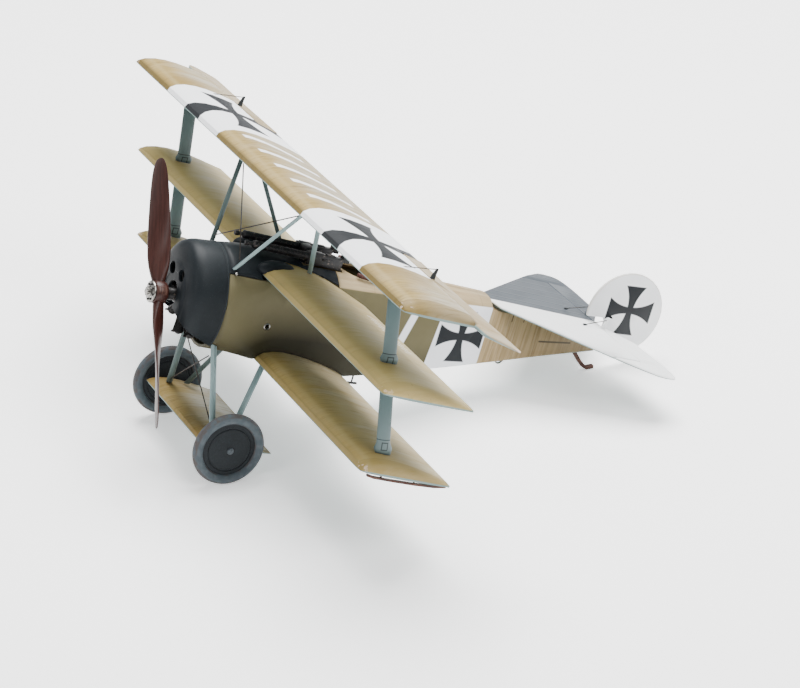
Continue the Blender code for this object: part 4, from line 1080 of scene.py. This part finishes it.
def slotted_jacket():
    rings = [(0.010, -0.048), (0.017, -0.049), (0.026, -0.044), (0.026, -0.010), (0.019, 0.0)]
    rings += [(0.019, 0.034), (0.034, 0.044), (0.042, 0.052), (0.042, 0.060)]
    rings += [(0.0405, 0.070 + 0.034 * i) for i in range(17)]
    rings += [(0.042, 0.624), (0.042, 0.650), (0.034, 0.660)]
    piece = turned("jacket", rings, 24, "Y")
    shape = edit(piece, "FACE")

    def slot_face(at, way):
        row = (at.y - 0.070) / 0.034
        step = round(math.atan2(at.x, at.z) / (math.tau / 24) - 0.5)
        return 0.07 < at.y < 0.612 and abs(way.y) < 0.2 and (int(row) + step) % 2 == 0

    pick_faces(piece, shape, slot_face)
    bpy.ops.mesh.inset(thickness=0.0022, use_individual=True)
    bpy.ops.transform.shrink_fatten(value=-0.005)
    return done(piece)


def block(name, centre, size, width=0.008):
    bpy.ops.object.select_all(action="DESELECT")
    bpy.ops.mesh.primitive_cube_add(size=1, location=centre)
    piece = added(name)
    piece.scale = size
    bpy.ops.object.transform_apply(location=True, scale=True)
    return apply_modifier(piece, "BEVEL", width=width, segments=2)


jacket = slotted_jacket()
breech = [block("breech", (0, 0.842, 0.028), (0.088, 0.395, 0.118))]
breech.append(block("breech_cover", (0, 0.740, 0.082), (0.070, 0.145, 0.030)))
breech.append(block("breech_lock", (0, 0.900, 0.090), (0.046, 0.110, 0.020)))
breech.append(block("butt", (0, 1.070, 0.094), (0.066, 0.085, 0.084)))
breech.append(block("crank", (0.048, 0.860, 0.045), (0.010, 0.110, 0.024), 0.003))
for piece in breech:
    piece.location = (0, 0, -0.036)
gun = fused([jacket] + breech, "gun")
for side, word in ((1, "port"), (-1, "starboard")):
    place = Matrix.Translation((side * GUN_X, GUN_FRONT.y, GUN_FRONT.z)) @ Matrix.Rotation(slope, 4, "X")
    other = copied(gun, "slotted_gun_" + word, place)
    settle(other, "airframe", "gunmetal", gun_finish, "machine_gun_" + word, angle=30)
bpy.data.objects.remove(gun)
print("guns ready")

# %% [markdown]
# ## Cockpit and small solids
# The cockpit's rim is a solid moulding made to look like a roll of leather drawn in by its lacing. The
# frame's rim has the right path, so its welded copy is subdivided and then pinched at even steps. The
# other small fittings are welded copies, shaded smooth by angle.

# %% Cockpit rim
rim = moulding("cockpit_coaming")
apply_modifier(rim, "SUBSURF", levels=2, render_levels=2)
inverse = AIRCRAFT.inverted()
COCKPIT_Y = 1.93
RIM_HALF_WIDTH = 0.255
RIM_HALF_LENGTH = 0.320
for point in rim.data.vertices:
    at = inverse @ point.co
    around = math.atan2(at.y - COCKPIT_Y, at.x)
    pinch = 1 - 0.10 * abs(math.cos(around * 22)) ** 12
    heart_x = RIM_HALF_WIDTH * math.cos(around)
    heart_y = COCKPIT_Y + RIM_HALF_LENGTH * math.sin(around)
    at.x = heart_x + (at.x - heart_x) * pinch
    at.y = heart_y + (at.y - heart_y) * pinch
    point.co = AIRCRAFT @ at
dress(rim, "airframe", "brown_leather", leather_finish, "cockpit_coaming", angle=60)

# %% Small fittings
fittings = (
    ("seat", "brown_leather", leather_finish),
    ("cockpit_floor", "olive_drab", fuselage_finish),
    ("instrument_panel", "mahogany", skid_finish),
    ("control_stick", "engine_black", engine_finish),
    ("rudder_bar", "engine_black", engine_finish),
    ("ammunition_feed", "gunmetal", gun_finish),
    ("tail_skid", "skid_ash", skid_finish),
    ("wing_skid_port", "skid_ash", skid_finish),
    ("wing_skid_starboard", "skid_ash", skid_finish),
    ("lifting_loop", "wire_steel", bright_finish),
    ("footstep", "engine_black", engine_finish),
    ("firewall", "slate_metal", slate_finish),
    ("crankshaft", "polished_steel", bright_finish),
    ("cabane_bracing", "wire_steel", wire_finish),
    ("undercarriage_bracing", "wire_steel", wire_finish),
)
for node, slot, finish in fittings:
    dress(moulding(node), "airframe", slot, finish, node, angle=40)
print("fittings:", len(fittings))


# %% Axle wing
def axle_wing_paint():
    pot = Paint("axle_wing_paint", 0.46, specular_ior_level=0.20)
    back = (pot.y - 0.355) / 0.775
    colour, fine = brushed_tan(pot, back, 0.60)
    under = (pot.z + 1.215 + back * 0.05).rises(0.006, -0.002)
    pot.set(base_color=pot.mix(under, colour, TURQUOISE), roughness=0.40 + fine * 0.18)
    return pot.bump(fine * 0.3, 0.5, 0.0001).material


dress(moulding("axle_wing"), "airframe", "tan_wing", axle_wing_paint(), "axle_wing", angle=32)

# %% [markdown]
# ## Fittings that the frame leaves out
# Small things that carry nothing are made only here: bolts at the strut feet, the fairings on the gun
# deck, the metal rim of the side port, and the control cables. A cable crosses a hinge, but here it is
# one straight rod from its fairing to its horn, set on neither body.


# %% Cables to the control horns
def cable(name, front, back, thickness=0.0042):
    """A taut cable from a fixed fairing to a moving horn, both points in the aircraft's axes."""
    run = Vector(back) - Vector(front)
    bpy.ops.object.select_all(action="DESELECT")
    bpy.ops.mesh.primitive_cylinder_add(vertices=10, radius=thickness, depth=run.length)
    piece = added(name)
    piece.matrix_world = (
        AIRCRAFT
        @ Matrix.Translation((Vector(front) + Vector(back)) / 2)
        @ run.to_track_quat("Z", "Y").to_matrix().to_4x4()
    )
    only(piece)
    bpy.ops.object.transform_apply(location=True, rotation=True, scale=True)
    bpy.ops.object.shade_smooth_by_angle(angle=math.radians(50))
    piece.data.materials.append(wire_finish)
    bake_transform(piece)
    return piece


def fairing(name, at, length, lean):
    """A small teardrop where a cable leaves the skin."""
    bpy.ops.object.select_all(action="DESELECT")
    bpy.ops.mesh.primitive_uv_sphere_add(segments=20, ring_count=12, radius=1, location=(0, 0, 0))
    piece = added(name)
    edit(piece)
    bpy.ops.mesh.select_all(action="SELECT")
    bpy.ops.transform.resize(value=(0.014, length / 2, 0.010))
    shape = bmesh.from_edit_mesh(piece.data)
    pick_points(piece, shape, lambda spot: spot.y > length * 0.1)
    bpy.ops.transform.resize(value=(0.5, 1, 0.5), center_override=(0, 0, 0))
    done(piece)
    piece.matrix_world = Matrix.Translation(at) @ Matrix.Rotation(lean, 4, "X")
    return settle(piece, "airframe", "engine_black", horn_finish, angle=50)


for side, word in ((1, "port"), (-1, "starboard")):
    horn_top = (side * HORN_X, 1.383, 1.372)
    foot = (side * HORN_X, 0.985, 1.362)
    cable("aileron_cable_" + word, foot, horn_top)
    fairing("aileron_cable_fairing_" + word, foot, 0.07, 0.0)
    horn_top = (side * 0.18, 4.838, 0.298)
    foot = (side * 0.21, 4.560, 0.236)
    cable("elevator_cable_" + word, foot, horn_top)
    fairing("elevator_cable_fairing_" + word, foot, 0.06, -0.09)
print("cables ready")


# %% Strut feet and deck fittings
def bolt_head(name, at, way, radius=0.011, height=0.014):
    piece = turned(name, [(radius, -0.004), (radius, height * 0.7), (radius * 0.7, height)], 6, "Z")
    piece.matrix_world = Matrix.Translation(at) @ Vector(way).to_track_quat("Z", "Y").to_matrix().to_4x4()
    only(piece)
    bpy.ops.object.transform_apply(location=True, rotation=True, scale=True)
    return piece


heads = []
for side in (1, -1):
    for y, z, x in ((0.435, 0.405, 0.352), (0.420, -0.315, 0.332)):
        heads.append(bolt_head("foot_bolt", (side * x, y, z), (side, -0.2, 0.1), 0.016, 0.024))
    heads.append(bolt_head("wing_bolt", (side * 0.77, 0.79, 1.268), (side * 0.3, 0, -1), 0.012, 0.016))
settle(fused(heads, "strut_foot_bolts"), "airframe", "polished_steel", bright_finish, angle=20)

# %% Deck fairings
for side, word in ((1, "port"), (-1, "starboard")):
    bpy.ops.object.select_all(action="DESELECT")
    bpy.ops.mesh.primitive_uv_sphere_add(segments=40, ring_count=24, radius=1, location=(0, 0, 0))
    hump = added("deck_fairing_" + word)
    edit(hump)
    bpy.ops.mesh.select_all(action="SELECT")
    bpy.ops.transform.resize(value=(0.085, 0.200, 0.085))
    bpy.ops.mesh.bisect(plane_co=(0, 0, -0.050), plane_no=(0, 0, 1), clear_inner=True, use_fill=True)
    done(hump)
    tilt = Matrix.Rotation(side * 0.5, 4, "Y")
    hump.matrix_world = Matrix.Translation((side * 0.315, 0.860, 0.480)) @ tilt
    settle(hump, "airframe", "slate_metal", slate_finish, angle=50)

# %% Rim of the side port
PORT_Y = 0.880
PORT_Z = -0.078
rim_rings = [(0.022, -0.008), (0.022, 0.005), (0.027, 0.009), (0.033, 0.007), (0.037, 0.0), (0.037, -0.008)]
port_rim = turned("side_port_rim", rim_rings + rim_rings[:1], 32, "Z", closed_loop=True)
outside = AIRCRAFT @ Vector((0.80, PORT_Y, PORT_Z + 0.032))
inward = AIRCRAFT.to_3x3() @ Vector((-1, 0, 0))
found, spot = skin.ray_cast(outside, inward)[:2]
skin_x = (inverse @ spot).x
port_rim.matrix_world = Matrix.Translation((skin_x, PORT_Y, PORT_Z)) @ Matrix.Rotation(math.pi / 2, 4, "Y")
only(port_rim)
bpy.ops.object.transform_apply(location=True, rotation=True, scale=True)
settle(port_rim, "airframe", "polished_steel", bright_finish, angle=50)
print("side port found:", found, "at", round(skin_x, 3))

# %% [markdown]
# ## Floor, light and camera
# The model stands on a pale seamless floor under broad soft light, mostly from above and a little behind
# on the port side, so the wings' backs are bright and their undersides fall into soft shadow. The camera
# is long and looks down across the port bow.

# %% Floor and light
bpy.ops.object.select_all(action="DESELECT")
bpy.ops.mesh.primitive_plane_add(size=12, location=(0, 0, 0))
floor = added("floor")
floor_paint = bpy.data.materials.new("pale_floor")
floor_paint.use_nodes = True
floor_shader = floor_paint.node_tree.nodes["Principled BSDF"]
floor_shader.inputs["Base Color"].default_value = (0.92, 0.92, 0.92, 1)
floor_shader.inputs["Emission Color"].default_value = (1.0, 1.0, 1.0, 1)
floor_shader.inputs["Emission Strength"].default_value = 0.6
floor_shader.inputs["Roughness"].default_value = 0.9
floor_shader.inputs["Specular IOR Level"].default_value = 0.1
floor.data.materials.append(floor_paint)

world = bpy.data.worlds.new("studio")
bpy.context.scene.world = world
world.use_nodes = True
world.node_tree.nodes["Background"].inputs["Color"].default_value = (1.0, 1.0, 1.0, 1)
world.node_tree.nodes["Background"].inputs["Strength"].default_value = 0.40


def soft_light(name, place, size, power):
    """A square panel of light that faces the model."""
    data = bpy.data.lights.new(name, "AREA")
    data.size = size
    data.energy = power
    lamp = bpy.data.objects.new(name, data)
    bpy.context.scene.collection.objects.link(lamp)
    lamp.location = place
    lamp.rotation_euler = Vector(place).to_track_quat("Z", "Y").to_euler()
    return lamp


soft_light("top_panel", (-0.35, 0.30, 1.30), 1.0, 62)
soft_light("front_panel", (0.5, -1.2, 0.80), 0.5, 5)
soft_light("side_panel", (-1.1, -0.9, 0.60), 0.6, 3)
soft_light("port_panel", (0.9, 0.5, 1.1), 0.8, 16)

# %% Camera
CAMERA_PLACE = Vector((1.06427, -0.50457, 0.60401))
CAMERA_AIM = Vector((0.00883, -0.00840, 0.02967))
CAMERA_ROLL = math.radians(0.81)
view = bpy.data.cameras.new("camera")
view.lens = 140.66
view.sensor_width = 36
view.shift_x = 0.0051
view.shift_y = 0.0130
camera = bpy.data.objects.new("camera", view)
bpy.context.scene.collection.objects.link(camera)
aim = (CAMERA_PLACE - CAMERA_AIM).to_track_quat("Z", "Y").to_matrix().to_4x4()
camera.matrix_world = Matrix.Translation(CAMERA_PLACE) @ aim @ Matrix.Rotation(CAMERA_ROLL, 4, "Z")
bpy.context.scene.camera = camera
